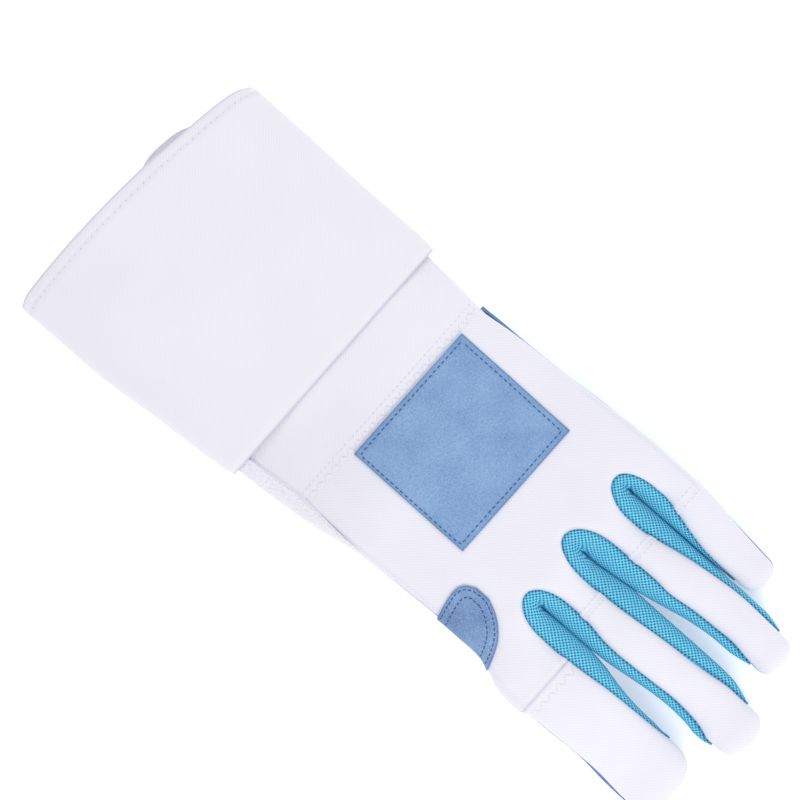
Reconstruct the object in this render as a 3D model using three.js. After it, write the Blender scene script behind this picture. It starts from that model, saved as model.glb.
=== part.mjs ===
// Left-hand fencing glove lying palm down, built panel by panel as it is sewn.
// Millimetres. +X thumb side, +Y fingertips, +Z up. Worked out from the middle of the wrist seam.
import * as THREE from 'three';

// Driving sizes
const HAND_LENGTH = 198;
const HAND_WIDTH = 111;
const WRIST_HEIGHT = 28;
const HAND_HEIGHT = 24.5;
const FINGER_HEIGHT = 20;
const TIP_HEIGHT = 15.5;
const CUFF_LENGTH = 110;
const CUFF_WIDTH = 128.4;
const CUFF_HEIGHT = 37;
const BAND_TUCK = 9;
const THUMB_LENGTH = 52;
const THUMB_WIDTH = 26;
const THUMB_HEIGHT = 17;
const PATCH_SIZE = 64.5;
const WALL_CUFF = 2.2;
const WALL_BACK = 2;
const WALL_PALM = 1.5;
const WALL_MESH = 1.2;
const WALL_PATCH = 1.2;
const WALL_STRIP = 1.7;
const SEAM_GAP = 0.35;

// Side edges of the hand. Columns: along as a share of HAND_LENGTH, across as a share of HAND_WIDTH
const ULNAR_EDGE = [[-0.192, -0.458], [-0.121, -0.454], [-0.051, -0.447], [0, -0.44], [0.101, -0.458],
  [0.202, -0.468], [0.303, -0.483], [0.404, -0.494], [0.505, -0.497], [0.606, -0.49], [0.667, -0.476],
  [0.727, -0.465], [0.768, -0.458]];
const RADIAL_EDGE = [[-0.192, 0.559], [-0.121, 0.551], [-0.061, 0.541], [0, 0.53], [0.121, 0.512],
  [0.202, 0.505], [0.303, 0.497], [0.404, 0.494], [0.465, 0.497], [0.505, 0.526], [0.535, 0.544],
  [0.6, 0.551], [0.626, 0.544], [0.707, 0.537], [0.788, 0.533], [0.869, 0.548]];

// The U-shaped finger gussets, same columns. left and right are the sewn edges of the white cloth,
// leftFree and rightFree the line that the mesh of each finger bulges out to.
const GUSSETS = [
  {
    name: 'fourchette_little_ring', centre: -0.303, bottom: 0.43, round: 0.075, slit: 0.467,
    left: [[0.505, -0.371], [0.535, -0.371], [0.576, -0.353], [0.616, -0.335], [0.667, -0.319],
      [0.768, -0.314]],
    right: [[0.505, -0.227], [0.545, -0.231], [0.586, -0.245], [0.626, -0.259], [0.667, -0.27],
      [0.727, -0.281], [0.788, -0.288], [0.869, -0.285], [0.903, -0.281]],
    leftFree: [[0.505, -0.308], [0.667, -0.309], [0.768, -0.308]],
    rightFree: [[0.505, -0.303], [0.727, -0.303], [0.788, -0.303], [0.869, -0.297], [0.909, -0.287]],
  },
  {
    name: 'fourchette_ring_middle', centre: -0.029, bottom: 0.428, round: 0.085, slit: 0.481,
    left: [[0.513, -0.119], [0.566, -0.119], [0.626, -0.123], [0.667, -0.119], [0.727, -0.13],
      [0.788, -0.135], [0.828, -0.137], [0.869, -0.126], [0.909, -0.119]],
    right: [[0.513, 0.043], [0.535, 0.043], [0.586, 0.036], [0.626, 0.032], [0.687, 0.022],
      [0.747, 0.011], [0.788, 0.004], [0.828, -0.004], [0.879, -0.014], [0.929, -0.011]],
    leftFree: [[0.513, -0.029], [0.566, -0.04], [0.602, -0.049], [0.626, -0.056], [0.687, -0.079],
      [0.727, -0.094], [0.788, -0.108], [0.869, -0.11], [0.909, -0.114]],
    rightFree: [[0.513, -0.025], [0.566, -0.036], [0.602, -0.043], [0.667, -0.043], [0.808, -0.043],
      [0.869, -0.04], [0.909, -0.03], [0.949, -0.018]],
  },
  {
    name: 'fourchette_middle_index', centre: 0.223, bottom: 0.448, round: 0.077, slit: 0.489,
    left: [[0.525, 0.151], [0.545, 0.151], [0.586, 0.155], [0.626, 0.166], [0.667, 0.169],
      [0.707, 0.166], [0.768, 0.159], [0.808, 0.155], [0.848, 0.159], [0.889, 0.169], [0.919, 0.187]],
    right: [[0.525, 0.303], [0.576, 0.303], [0.626, 0.295], [0.667, 0.288], [0.707, 0.281],
      [0.768, 0.277], [0.828, 0.274], [0.869, 0.268]],
    leftFree: [[0.525, 0.216], [0.586, 0.216], [0.626, 0.214], [0.667, 0.209], [0.707, 0.2],
      [0.747, 0.191], [0.788, 0.184], [0.828, 0.182], [0.869, 0.187], [0.909, 0.2], [0.949, 0.2]],
    rightFree: [[0.525, 0.221], [0.586, 0.221], [0.626, 0.223], [0.667, 0.232], [0.707, 0.243],
      [0.768, 0.254], [0.808, 0.259], [0.859, 0.262]],
  },
];

// Columns as shares of HAND_LENGTH: seam across the back, end of the gussets, start and end of the tip
const FINGERS = [
  { name: 'little', seam: 0.566, gussetEnd: 0.75, tipStart: 0.764, tip: 0.804, thick: 0.92 },
  { name: 'ring', seam: 0.566, gussetEnd: 0.886, tipStart: 0.9, tip: 0.937, thick: 1 },
  { name: 'middle', seam: 0.566, gussetEnd: 0.936, tipStart: 0.95, tip: 0.994, thick: 1 },
  { name: 'index', seam: 0.6, gussetEnd: 0.862, tipStart: 0.878, tip: 0.945, thick: 1.05 },
];
const EDGE_TOP = 0.51;
const GUSSET_START = 0.31;
const GUSSET_FINISH = 0.06;
const GUSSET_TAPER = 2.5;
const FINGER_ROLL = 0.55;
const TIP_POWER = 2.6;
const FINGER_BLEND = 0.12;

// How high the wrist and hand stand. Columns: along, share of the way from WRIST_HEIGHT to HAND_HEIGHT,
// share of the height at which the cuff's lower wall carries the wrist
const FULLNESS = [[-0.192, 0, 1], [-0.08, 0, 1], [0, 0.25, 0.6], [0.2, 0.85, 0.1], [0.43, 1, 0]];

// The thumb is folded under the palm: where its root meets the hand, as shares of HAND_LENGTH
const ROOT_MIDDLE = 0.279;
const ROOT_HALF = 0.145;
const ROOT_DEPTH = 0.162;
const THUMB_ACROSS = [0.36, 0.335];
const LIFT_START = -0.14;
const LIFT_FULL = 0.162;
const LIFT_FALL = [0.64, 0.93];
const LIFT_ACROSS = [-0.43, 0.36];

// Steps of the meshes
const ROWS = { heel: 2, root: 8, crotch: 5, knuckle: 2, finger: 5, tip: 4 };
const COLUMNS = 6;
const AROUND = 28;

const clamp = (value, low, high) => Math.min(high, Math.max(low, value));
const mix = (from, to, share) => from + (to - from) * share;
const smooth = (value) => {
  const share = clamp(value, 0, 1);
  return share * share * (3 - 2 * share);
};
const eased = (share) => Math.sin(share * Math.PI / 2);

// A smooth line through the rows of a table, level beyond its ends
function curve(rows, column = 1) {
  return (along) => {
    const last = rows.length - 1;
    if (along <= rows[0][0]) return rows[0][column];
    if (along >= rows[last][0]) return rows[last][column];
    const at = rows.findIndex((row) => row[0] > along) - 1;
    const slope = (i) => {
      const before = rows[Math.max(i - 1, 0)];
      const after = rows[Math.min(i + 1, last)];
      return (after[column] - before[column]) / (after[0] - before[0]);
    };
    const span = rows[at + 1][0] - rows[at][0];
    const t = (along - rows[at][0]) / span;
    const tt = t * t;
    const ttt = tt * t;
    return rows[at][column] * (2 * ttt - 3 * tt + 1) + rows[at + 1][column] * (3 * tt - 2 * ttt)
      + span * (slope(at) * (ttt - 2 * tt + t) + slope(at + 1) * (ttt - tt));
  };
}

// Height that the palm is raised to by the thumb folded under it, a function of the place only
const LIFT = THUMB_HEIGHT + 1.5 * SEAM_GAP;
function bed(x, y) {
  const along = y / HAND_LENGTH;
  const across = x / HAND_WIDTH;
  const rise = smooth((along - LIFT_START) / (LIFT_FULL - LIFT_START));
  const fall = 1 - smooth((along - LIFT_FALL[0]) / (LIFT_FALL[1] - LIFT_FALL[0]));
  const side = smooth((across - LIFT_ACROSS[0]) / (LIFT_ACROSS[1] - LIFT_ACROSS[0]));
  return LIFT * rise * fall * side + SEAM_GAP / 2;
}

// Cross-section of the wrist and hand at a share along: two flattened arches that meet at the sides
const ulnarEdge = curve(ULNAR_EDGE);
const radialEdge = curve(RADIAL_EDGE);
const fullShare = curve(FULLNESS, 1);
const carriedShare = curve(FULLNESS, 2);
const CUFF_CLEAR = WALL_CUFF + 1.5 * SEAM_GAP;
const ARCH_POWER = 2.6;
function section(along) {
  const left = ulnarEdge(along) * HAND_WIDTH;
  const right = radialEdge(along) * HAND_WIDTH;
  const full = mix(WRIST_HEIGHT, HAND_HEIGHT, fullShare(along));
  const middle = full / 2 + CUFF_CLEAR * carriedShare(along);
  return { left, right, middle, centre: (left + right) / 2, half: (right - left) / 2, full };
}
function archHeight(side, across, along) {
  const cut = section(along);
  const arch = Math.sqrt(Math.max(0, 1 - Math.abs(across) ** ARCH_POWER));
  return cut.middle + side * arch * cut.full / 2;
}

// A sheet is points with faces. Its wall grows inwards, against each point's normal. At a seam a point
// carries the direction that both walls there share, LEVEL, which keeps the normal's level part, or
// UPRIGHT, which keeps the part square to the length of the hand.
const LEVEL = 'level';
const UPRIGHT = 'upright';
class Sheet {
  constructor() {
    this.points = [];
    this.growth = [];
    this.faces = [];
    this.known = new Map();
  }

  add(point, growth = null) {
    const key = point.toArray().map((value) => Math.round(value * 1e4)).join(' ');
    if (!this.known.has(key)) {
      this.known.set(key, this.points.length);
      this.points.push(point);
      this.growth.push(growth);
    }
    return this.known.get(key);
  }

  face(a, b, c) {
    if (a !== b && b !== c && c !== a) this.faces.push([a, b, c]);
  }

  // Rows of point numbers, joined with the outside on the left of the row direction or turned over
  grid(rows, flip = false, closed = false) {
    for (let i = 0; i + 1 < rows.length; i += 1) {
      const count = rows[i].length;
      for (let j = 0; j + (closed ? 0 : 1) < count; j += 1) {
        const next = (j + 1) % count;
        const [a, b, c, d] = [rows[i][j], rows[i][next], rows[i + 1][next], rows[i + 1][j]];
        if (flip) {
          this.face(a, c, b);
          this.face(a, d, c);
        } else {
          this.face(a, b, c);
          this.face(a, c, d);
        }
      }
    }
  }

  normals() {
    const sums = this.points.map(() => new THREE.Vector3());
    for (const [a, b, c] of this.faces) {
      const ab = this.points[b].clone().sub(this.points[a]);
      const ac = this.points[c].clone().sub(this.points[a]);
      const normal = ab.cross(ac);
      [a, b, c].forEach((index) => sums[index].add(normal));
    }
    return sums.map((sum) => sum.normalize());
  }
}

// Gives a sheet its wall, grown inwards, and closes the rim
function thicken(sheet, wall, lift = bed) {
  const normals = sheet.normals();
  const count = sheet.points.length;
  const outer = sheet.points;
  const inner = outer.map((point, i) => {
    const { x, y, z } = normals[i];
    const named = { [LEVEL]: [x, y, 0], [UPRIGHT]: [x, 0, z] }[sheet.growth[i]];
    const growth = named ? new THREE.Vector3(...named).normalize() : sheet.growth[i] ?? normals[i];
    return point.clone().addScaledVector(growth, -wall);
  });
  const faces = [];
  const edges = new Set();
  for (const [a, b, c] of sheet.faces) {
    faces.push([a, b, c], [a + count, c + count, b + count]);
    [[a, b], [b, c], [c, a]].forEach(([from, to]) => edges.add(`${from} ${to}`));
  }
  for (const edge of edges) {
    const [from, to] = edge.split(' ').map(Number);
    if (!edges.has(`${to} ${from}`)) {
      faces.push([to, from, from + count], [to, from + count, to + count]);
    }
  }
  const geometry = new THREE.BufferGeometry();
  const place = [...outer, ...inner].flatMap((p) => [p.x, p.y, p.z + lift(p.x, p.y)]);
  geometry.setAttribute('position', new THREE.Float32BufferAttribute(place, 3));
  geometry.setIndex(faces.flat());
  geometry.computeVertexNormals();
  return geometry;
}

const glove = new THREE.Group();
function addPiece(name, geometry, colour, roughness) {
  const material = new THREE.MeshStandardMaterial({ color: colour, roughness, metalness: 0 });
  const mesh = new THREE.Mesh(geometry, material);
  mesh.name = name;
  glove.add(mesh);
}
const WHITE_CLOTH = '#ecebf4';
const BLUE_SUEDE = '#8dacd5';
const CYAN_MESH = '#52adcf';
const LOOP_TAPE = '#e3e1ec';

// Sewn edges of the gussets, rounded at the bottom of the U
const gussets = GUSSETS.map((row) => ({
  ...row,
  leftLine: curve(row.left),
  rightLine: curve(row.right),
  leftFreeLine: curve(row.leftFree),
  rightFreeLine: curve(row.rightFree),
}));
function sewnEdge(gusset, side, along) {
  const line = side < 0 ? gusset.leftLine : gusset.rightLine;
  const turn = clamp((along - gusset.bottom) / gusset.round, 0, 1);
  const across = mix(gusset.centre, line(along), Math.sqrt(1 - (1 - turn) ** 2));
  return new THREE.Vector2(across * HAND_WIDTH, along * HAND_LENGTH);
}
function freeEdge(gusset, side, along) {
  const line = side < 0 ? gusset.leftFreeLine : gusset.rightFreeLine;
  const top = gusset.bottom + gusset.round;
  const low = mix(gusset.slit, top, clamp((along - gusset.bottom) / gusset.round, 0, 1));
  const place = Math.max(low, along);
  return new THREE.Vector2(line(place) * HAND_WIDTH + side * SEAM_GAP / 2, place * HAND_LENGTH);
}
// Level direction from the sewn edge to the free edge of a gusset
function outward(gusset, side, along) {
  const away = freeEdge(gusset, side, along).sub(sewnEdge(gusset, side, along));
  return along <= gusset.bottom ? new THREE.Vector2(0, 1) : away.normalize();
}

// Shares along of every row, for one finger's side: hand, crotch, knuckle, finger and tip
function rowsAlong(finger, gusset) {
  const rows = [];
  const heel = ROOT_MIDDLE - ROOT_HALF;
  const start = SEAM_GAP / HAND_LENGTH;
  const bottom = gusset ? gusset.bottom : ROOT_MIDDLE + ROOT_HALF;
  const top = gusset ? gusset.bottom + gusset.round : EDGE_TOP;
  const stretch = bottom / (ROOT_MIDDLE + ROOT_HALF);
  for (let i = 0; i < ROWS.heel; i += 1) rows.push(mix(start, heel, i / ROWS.heel) * stretch);
  for (let i = 0; i < ROWS.root; i += 1) {
    rows.push((ROOT_MIDDLE - ROOT_HALF * Math.cos(Math.PI * i / ROWS.root)) * stretch);
  }
  for (let i = 0; i < ROWS.crotch; i += 1) {
    const turn = i / ROWS.crotch;
    rows.push(mix(bottom, top, gusset ? 1 - Math.cos(turn * Math.PI / 2) : turn));
  }
  for (let i = 0; i < ROWS.knuckle; i += 1) rows.push(mix(top, finger.seam, i / ROWS.knuckle));
  for (let i = 0; i < ROWS.finger; i += 1) {
    rows.push(mix(finger.seam, finger.gussetEnd, i / (ROWS.finger - 1)));
  }
  for (let i = 0; i <= ROWS.tip; i += 1) {
    rows.push(mix(finger.tipStart, finger.tip, eased(i / ROWS.tip)));
  }
  return rows;
}
const SEAM_ROW = ROWS.heel + ROWS.root + ROWS.crotch + ROWS.knuckle;
const SPLIT_ROW = ROWS.heel + ROWS.root;
const END_ROW = SEAM_ROW + ROWS.finger - 1;

// Half height of the gusset's side wall at a share along, and the height of a finger
function gussetHalf(finger, along) {
  const share = clamp((along - finger.seam) / (finger.gussetEnd - finger.seam), 0, 1);
  return mix(GUSSET_START, GUSSET_FINISH, share ** GUSSET_TAPER) * FINGER_HEIGHT;
}
function fingerCut(finger, along) {
  const share = clamp((along - finger.seam) / (finger.tipStart - finger.seam), 0, 1);
  const full = mix(FINGER_HEIGHT, TIP_HEIGHT, share) * finger.thick;
  const turn = clamp((along - finger.tipStart) / (finger.tip - finger.tipStart), 0, 1);
  const closing = Math.max(0, 1 - turn ** TIP_POWER) ** (1 / TIP_POWER);
  return { full, middle: full / 2, closing };
}
const NOTCH_START = 0.2;
const fingerShare = (along) => smooth((along - GUSSETS[2].bottom) / FINGER_BLEND);

// Place of an edge of finger k's column in the sheet of the back (side 1) or palm (side -1). The palm
// has a notch in its thumb side, where the root of the thumb is sewn in
function columnEdge(k, left, along, side) {
  const finger = FINGERS[k];
  const gusset = left ? gussets[k - 1] : gussets[k];
  const sign = left ? 1 : -1;
  const kept = Math.min(along, finger.tipStart);
  if (gusset) {
    const edge = sewnEdge(gusset, sign, kept);
    const out = outward(gusset, sign, kept);
    const split = along >= gusset.bottom - 1e-6;
    const shift = split && along <= finger.gussetEnd + 1e-6 ? SEAM_GAP / 2 : 0;
    return { x: edge.x - out.x * shift, shift: out.y * shift, out: shift > 0 ? out : null };
  }
  const line = left ? ulnarEdge : radialEdge;
  const turn = clamp(1 - ((along - ROOT_MIDDLE) / ROOT_HALF) ** 2, 0, 1);
  const depth = side < 0 && !left ? Math.sqrt(turn) : 0;
  const x = line(kept) * HAND_WIDTH - depth * ROOT_DEPTH * HAND_WIDTH;
  return { x, shift: 0, out: null, notched: depth > NOTCH_START };
}

// One point of the back or palm: finger k, across from -1 to 1, with the shares along of both edges
function handPoint(k, across, leftAlong, rightAlong, side) {
  const finger = FINGERS[k];
  const share = (across + 1) / 2;
  const along = mix(leftAlong, rightAlong, share);
  const left = columnEdge(k, true, leftAlong, side);
  const right = columnEdge(k, false, rightAlong, side);
  const cut = section(along);
  const angle = (x) => Math.asin(clamp((x - cut.centre) / cut.half, -1, 1));
  const arched = cut.centre + cut.half * Math.sin(mix(angle(left.x), angle(right.x), share));
  const handX = new Map([[0, left.x], [1, right.x]]).get(share) ?? arched;
  const handZ = archHeight(side, (handX - cut.centre) / cut.half, along);
  const tube = fingerCut(finger, along);
  const middleX = (left.x + right.x) / 2;
  const halfX = (right.x - left.x) / 2 * tube.closing;
  const outerSide = across < 0 ? k === 0 : k === 3;
  const past = along > finger.gussetEnd + 1e-6;
  const edgeHeight = outerSide || past ? 0 : gussetHalf(finger, along);
  const crown = tube.full / 2;
  const sidewall = clamp(edgeHeight / (GUSSET_START * FINGER_HEIGHT), 0, 1);
  const roll = Math.PI / 2 * mix(1, FINGER_ROLL, sidewall);
  const bend = Math.abs(across) * roll;
  const fingerX = middleX + halfX * Math.sign(across) * Math.sin(bend) / Math.sin(roll);
  const fall = (Math.cos(bend) - Math.cos(roll)) / (1 - Math.cos(roll));
  const fingerZ = tube.middle + side * (edgeHeight + (crown - edgeHeight) * fall) * tube.closing;
  const blend = fingerShare(along);
  const shift = mix(left.shift, right.shift, share);
  const x = mix(handX, fingerX, blend);
  const z = mix(handZ, fingerZ, blend);
  return new THREE.Vector3(x, along * HAND_LENGTH - shift, z + side * SEAM_GAP / 2);
}

// Rows of the back or palm sheet for the fingers named, from one row number to another
function handSheet(side, fingers, firstRow, lastRow, endRow, startShift = 0) {
  const sheet = new Sheet();
  for (const k of fingers) {
    const leftRows = rowsAlong(FINGERS[k], gussets[k - 1]);
    const rightRows = rowsAlong(FINGERS[k], gussets[k]);
    const rows = [];
    for (let i = firstRow; i <= lastRow; i += 1) {
      const row = [];
      const nudge = i === firstRow ? startShift : 0;
      const square = i === firstRow || (i === lastRow && i === SEAM_ROW);
      for (let j = 0; j <= COLUMNS; j += 1) {
        const point = handPoint(k, 2 * j / COLUMNS - 1, leftRows[i] + nudge, rightRows[i] + nudge, side);
        let growth = square ? UPRIGHT : null;
        if (j === 0 || j === COLUMNS) {
          const edge = columnEdge(k, j === 0, j === 0 ? leftRows[i] : rightRows[i], side);
          const outline = j === 0 ? k === 0 : k === 3;
          if ((outline || i > endRow) && !edge.notched) growth = LEVEL;
          if (edge.out && i <= endRow) {
            growth = new THREE.Vector3(edge.out.x, edge.out.y, side).normalize();
          }
        }
        row.push(sheet.add(point, growth));
      }
      rows.push(row);
    }
    sheet.grid(rows, side < 0);
  }
  return sheet;
}

const LAST_ROW = SEAM_ROW + ROWS.finger + ROWS.tip;
const handBack = handSheet(1, [0, 1, 2, 3], 0, SEAM_ROW, END_ROW);
const palm = handSheet(-1, [0, 1, 2, 3], 0, LAST_ROW, END_ROW);
addPiece('hand_back', thicken(handBack, WALL_BACK), WHITE_CLOTH, 0.85);
addPiece('palm', thicken(palm, WALL_PALM), BLUE_SUEDE, 0.9);
FINGERS.forEach((finger, k) => {
  const start = SEAM_GAP / HAND_LENGTH;
  const sheet = handSheet(1, [k], SEAM_ROW, LAST_ROW, END_ROW, start);
  addPiece(`finger_back_${finger.name}`, thicken(sheet, WALL_BACK), WHITE_CLOTH, 0.85);
});

// A gusset runs up one finger's side, round the crotch and up the next finger's side.
// Each step across goes from the back's edge out to the free edge and in to the palm's edge.
const GUSSET_STEPS = 6;
function gussetRow(sheet, gusset, k, side, along) {
  const finger = FINGERS[k];
  const sewn = sewnEdge(gusset, side, along);
  const out = outward(gusset, side, along);
  const reach = Math.max(freeEdge(gusset, side, along).sub(sewn).length(), 2 * SEAM_GAP);
  const cut = section(along);
  const tube = fingerCut(finger, along);
  const blend = fingerShare(along);
  const place = (sewn.x - cut.centre) / cut.half;
  const tall = gussetHalf(finger, along);
  const top = mix(archHeight(1, place, along), tube.middle + tall, blend);
  const low = mix(archHeight(-1, place, along), tube.middle - tall, blend);
  const row = [];
  for (let i = 0; i <= GUSSET_STEPS; i += 1) {
    const turn = Math.PI * i / GUSSET_STEPS;
    const bulge = SEAM_GAP / 2 + (reach - SEAM_GAP) * Math.sin(turn);
    const z = (top + low) / 2 + Math.cos(turn) * (top - low) / 2;
    const point = new THREE.Vector3(sewn.x + out.x * bulge, sewn.y + out.y * bulge, z);
    row.push(sheet.add(point, new THREE.Vector3(out.x, out.y, Math.cos(turn)).normalize()));
  }
  return row;
}
gussets.forEach((gusset, j) => {
  const sheet = new Sheet();
  const up = rowsAlong(FINGERS[j], gusset).slice(SPLIT_ROW, END_ROW + 1);
  const down = rowsAlong(FINGERS[j + 1], gusset).slice(SPLIT_ROW + 1, END_ROW + 1);
  const rows = [
    ...up.reverse().map((along) => gussetRow(sheet, gusset, j, -1, along)),
    ...down.map((along) => gussetRow(sheet, gusset, j + 1, 1, along)),
  ];
  sheet.grid(rows, true);
  addPiece(gusset.name, thicken(sheet, WALL_MESH), CYAN_MESH, 0.7);
});

// The wrist band is one ring that continues the hand's section back under the cuff
function ringPoint(along, turn, grow = 0) {
  const cut = section(along);
  const across = Math.cos(turn);
  const arch = Math.sqrt(Math.max(0, 1 - Math.abs(across) ** ARCH_POWER)) * Math.sign(Math.sin(turn));
  const spread = new THREE.Vector2(across / cut.half, arch / (cut.full / 2)).setLength(grow);
  const x = cut.centre + cut.half * across + spread.x;
  return new THREE.Vector3(x, along * HAND_LENGTH, cut.middle + arch * cut.full / 2 + spread.y);
}
const STEP_START = -0.15;
const BAND_START = STEP_START - BAND_TUCK / HAND_LENGTH;
function band() {
  const sheet = new Sheet();
  const rows = [];
  const steps = 6;
  for (let i = 0; i <= steps; i += 1) {
    const along = mix(BAND_START, 0, i / steps);
    const row = [];
    const growth = i === steps ? UPRIGHT : null;
    for (let j = 0; j < AROUND; j += 1) {
      row.push(sheet.add(ringPoint(along, 2 * Math.PI * j / AROUND), growth));
    }
    rows.push(row);
  }
  sheet.grid(rows, true, true);
  return sheet;
}
addPiece('wrist_band', thicken(band(), WALL_BACK), WHITE_CLOTH, 0.85);

// The fuzzy strip lies on the thumb side of the band and runs on beside the hand
const STRIP_END = 0.118;
const STRIP_HALF_TURN = 0.42;
function strip() {
  const sheet = new Sheet();
  const rows = [];
  const steps = 7;
  for (let i = 0; i <= steps; i += 1) {
    const share = i / steps;
    const along = mix(BAND_START, STRIP_END, share);
    const spread = STRIP_HALF_TURN * mix(1, 0.5, smooth((share - 0.5) / 0.5));
    const row = [];
    for (let j = 0; j <= 6; j += 1) {
      const turn = mix(-spread, spread, j / 6);
      row.push(sheet.add(ringPoint(along, turn, 2 * SEAM_GAP + WALL_STRIP)));
    }
    rows.push(row);
  }
  sheet.grid(rows, true);
  return sheet;
}
addPiece('closure_strip', thicken(strip(), WALL_STRIP), LOOP_TAPE, 0.95);

// The cuff starts over the band, with room for the strip, and flares to its hem.
// Columns: share of the cuff's length from its front edge, share of the flare on the thumb side,
// share of the flare on the other side
const FLARE = [[0, 0, 0], [0.1, 0.16, 0.6], [0.27, 0.38, 0.9], [0.52, 0.72, 1], [0.75, 0.9, 1],
  [1, 1, 0.55]];
const STRIP_CLEAR = WALL_STRIP + 2.5 * SEAM_GAP;
const HEM_CENTRE = 0.083;
const CUFF_MIDDLE = 0.48;
const UNDERSIDE_PRESS = 1.07;
const flareRight = curve(FLARE, 1);
const flareLeft = curve(FLARE, 2);
// How far back the hem reaches. Columns: across from -1 to 1, share of CUFF_LENGTH
const HEM_SLANT = [[-1, 0.885], [-0.94, 0.905], [-0.82, 0.922], [-0.5, 0.95], [-0.1, 0.985], [0.4, 1.003],
  [0.88, 0.997], [1, 0.975]];
const hemSlant = curve(HEM_SLANT);
// The cuff's lower layer reaches a little farther back than the upper one over part of the hem
const PEEK = 1.8;
const PEEK_ACROSS = -0.34;
const PEEK_WIDTH = 0.22;
const peek = (flat) => PEEK * Math.exp(-(((flat - PEEK_ACROSS) / PEEK_WIDTH) ** 2));
function cuffPoint(share, turn) {
  const flat = Math.cos(turn);
  const front = ringPoint(STEP_START, turn, CUFF_CLEAR + STRIP_CLEAR * smooth((flat - 0.3) / 0.5));
  const rise = Math.sqrt(Math.max(0, 1 - Math.abs(flat) ** ARCH_POWER));
  const middle = CUFF_HEIGHT * CUFF_MIDDLE;
  const upper = turn <= Math.PI;
  const hemZ = middle + (upper ? CUFF_HEIGHT - middle : -middle * UNDERSIDE_PRESS) * rise;
  const hemX = HEM_CENTRE * HAND_WIDTH + flat * CUFF_WIDTH / 2;
  const flare = flat > 0 ? flareRight(share) : flareLeft(share);
  const x = mix(front.x, hemX, mix(share, flare, Math.abs(flat)));
  const back = CUFF_LENGTH * share * mix(1, hemSlant(flat), share) + (upper ? 0 : peek(flat) * share);
  const y = STEP_START * HAND_LENGTH - back;
  return new THREE.Vector3(x, y, Math.max(0, mix(front.z, hemZ, share)));
}
function cuff() {
  const sheet = new Sheet();
  const rows = [];
  const steps = 10;
  for (let i = 0; i <= steps; i += 1) {
    const row = [];
    for (let j = 0; j < AROUND; j += 1) {
      row.push(sheet.add(cuffPoint(1 - i / steps, 2 * Math.PI * j / AROUND)));
    }
    rows.push(row);
  }
  sheet.grid(rows, true, true);
  return sheet;
}
addPiece('cuff', thicken(cuff(), WALL_CUFF, () => 0), WHITE_CLOTH, 0.85);

// The thumb's root is an almond loop between the back's edge and the notch in the palm. The tube
// fans down from it to the floor and then runs forward under the palm to a round tip.
const FAN_STEPS = 6;
const TUBE_STEPS = 3;
const TIP_STEPS = 4;
const FAN_ADVANCE = 6;
const THUMB_TIP = 0.45;
const HINGE = (ROOT_MIDDLE + ROOT_HALF) * HAND_LENGTH - SEAM_GAP;
function rootPoint(turn) {
  const half = ROOT_HALF * HAND_LENGTH - 2 * SEAM_GAP;
  const y = ROOT_MIDDLE * HAND_LENGTH + half * Math.cos(turn);
  const along = y / HAND_LENGTH;
  const edge = radialEdge(along) * HAND_WIDTH;
  const inner = Math.max(0, -Math.sin(turn)) * (ROOT_DEPTH * HAND_WIDTH - 3 * SEAM_GAP);
  const x = edge - inner;
  const cut = section(along);
  const z = archHeight(-1, (x - cut.centre) / cut.half, along) - 1.4 * SEAM_GAP;
  return new THREE.Vector3(x, y, z + bed(x, y));
}
function thumbPoint(step, turn) {
  const root = rootPoint(turn);
  if (step < 1) return root.lerp(step > 0 ? thumbPoint(1, turn) : root, step);
  const back = (1 - Math.cos(turn)) / 2;
  const fan = clamp((step - 1) / FAN_STEPS, 0, 1);
  const angle = fan * Math.PI / 2;
  const run = clamp((step - 1 - FAN_STEPS) / TUBE_STEPS, 0, 1);
  const tip = clamp((step - 1 - FAN_STEPS - TUBE_STEPS) / TIP_STEPS, 0, 1);
  const reach = 2 * ROOT_HALF * HAND_LENGTH - 2 * SEAM_GAP;
  const tipLength = THUMB_WIDTH * THUMB_TIP;
  const closing = Math.cos(tip * Math.PI / 2);
  const forward = run * (THUMB_LENGTH - tipLength) + eased(tip) * tipLength;
  const centre = mix(THUMB_ACROSS[0], THUMB_ACROSS[1], forward / THUMB_LENGTH) * HAND_WIDTH;
  const tubeX = centre + THUMB_WIDTH / 2 * Math.sin(turn) * closing;
  const x = mix(root.x, tubeX, smooth(fan));
  const y = HINGE + FAN_ADVANCE * fan + forward - reach * back * Math.cos(angle);
  const fanZ = THUMB_HEIGHT * (1 - back * Math.sin(angle));
  return new THREE.Vector3(x, y, mix(THUMB_HEIGHT / 2, fanZ, closing));
}
// Directions away from the tube, and the one halfway between both sides of a split
function thumbOutward(step, turn) {
  const [before, after] = [Math.max(step - 0.05, 0), step + 0.05];
  const around = thumbPoint(step, turn + 0.05).sub(thumbPoint(step, turn - 0.05));
  const onward = thumbPoint(after, turn).sub(thumbPoint(before, turn));
  return around.cross(onward).normalize();
}
const SPLIT_REACH = 0.1;
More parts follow.
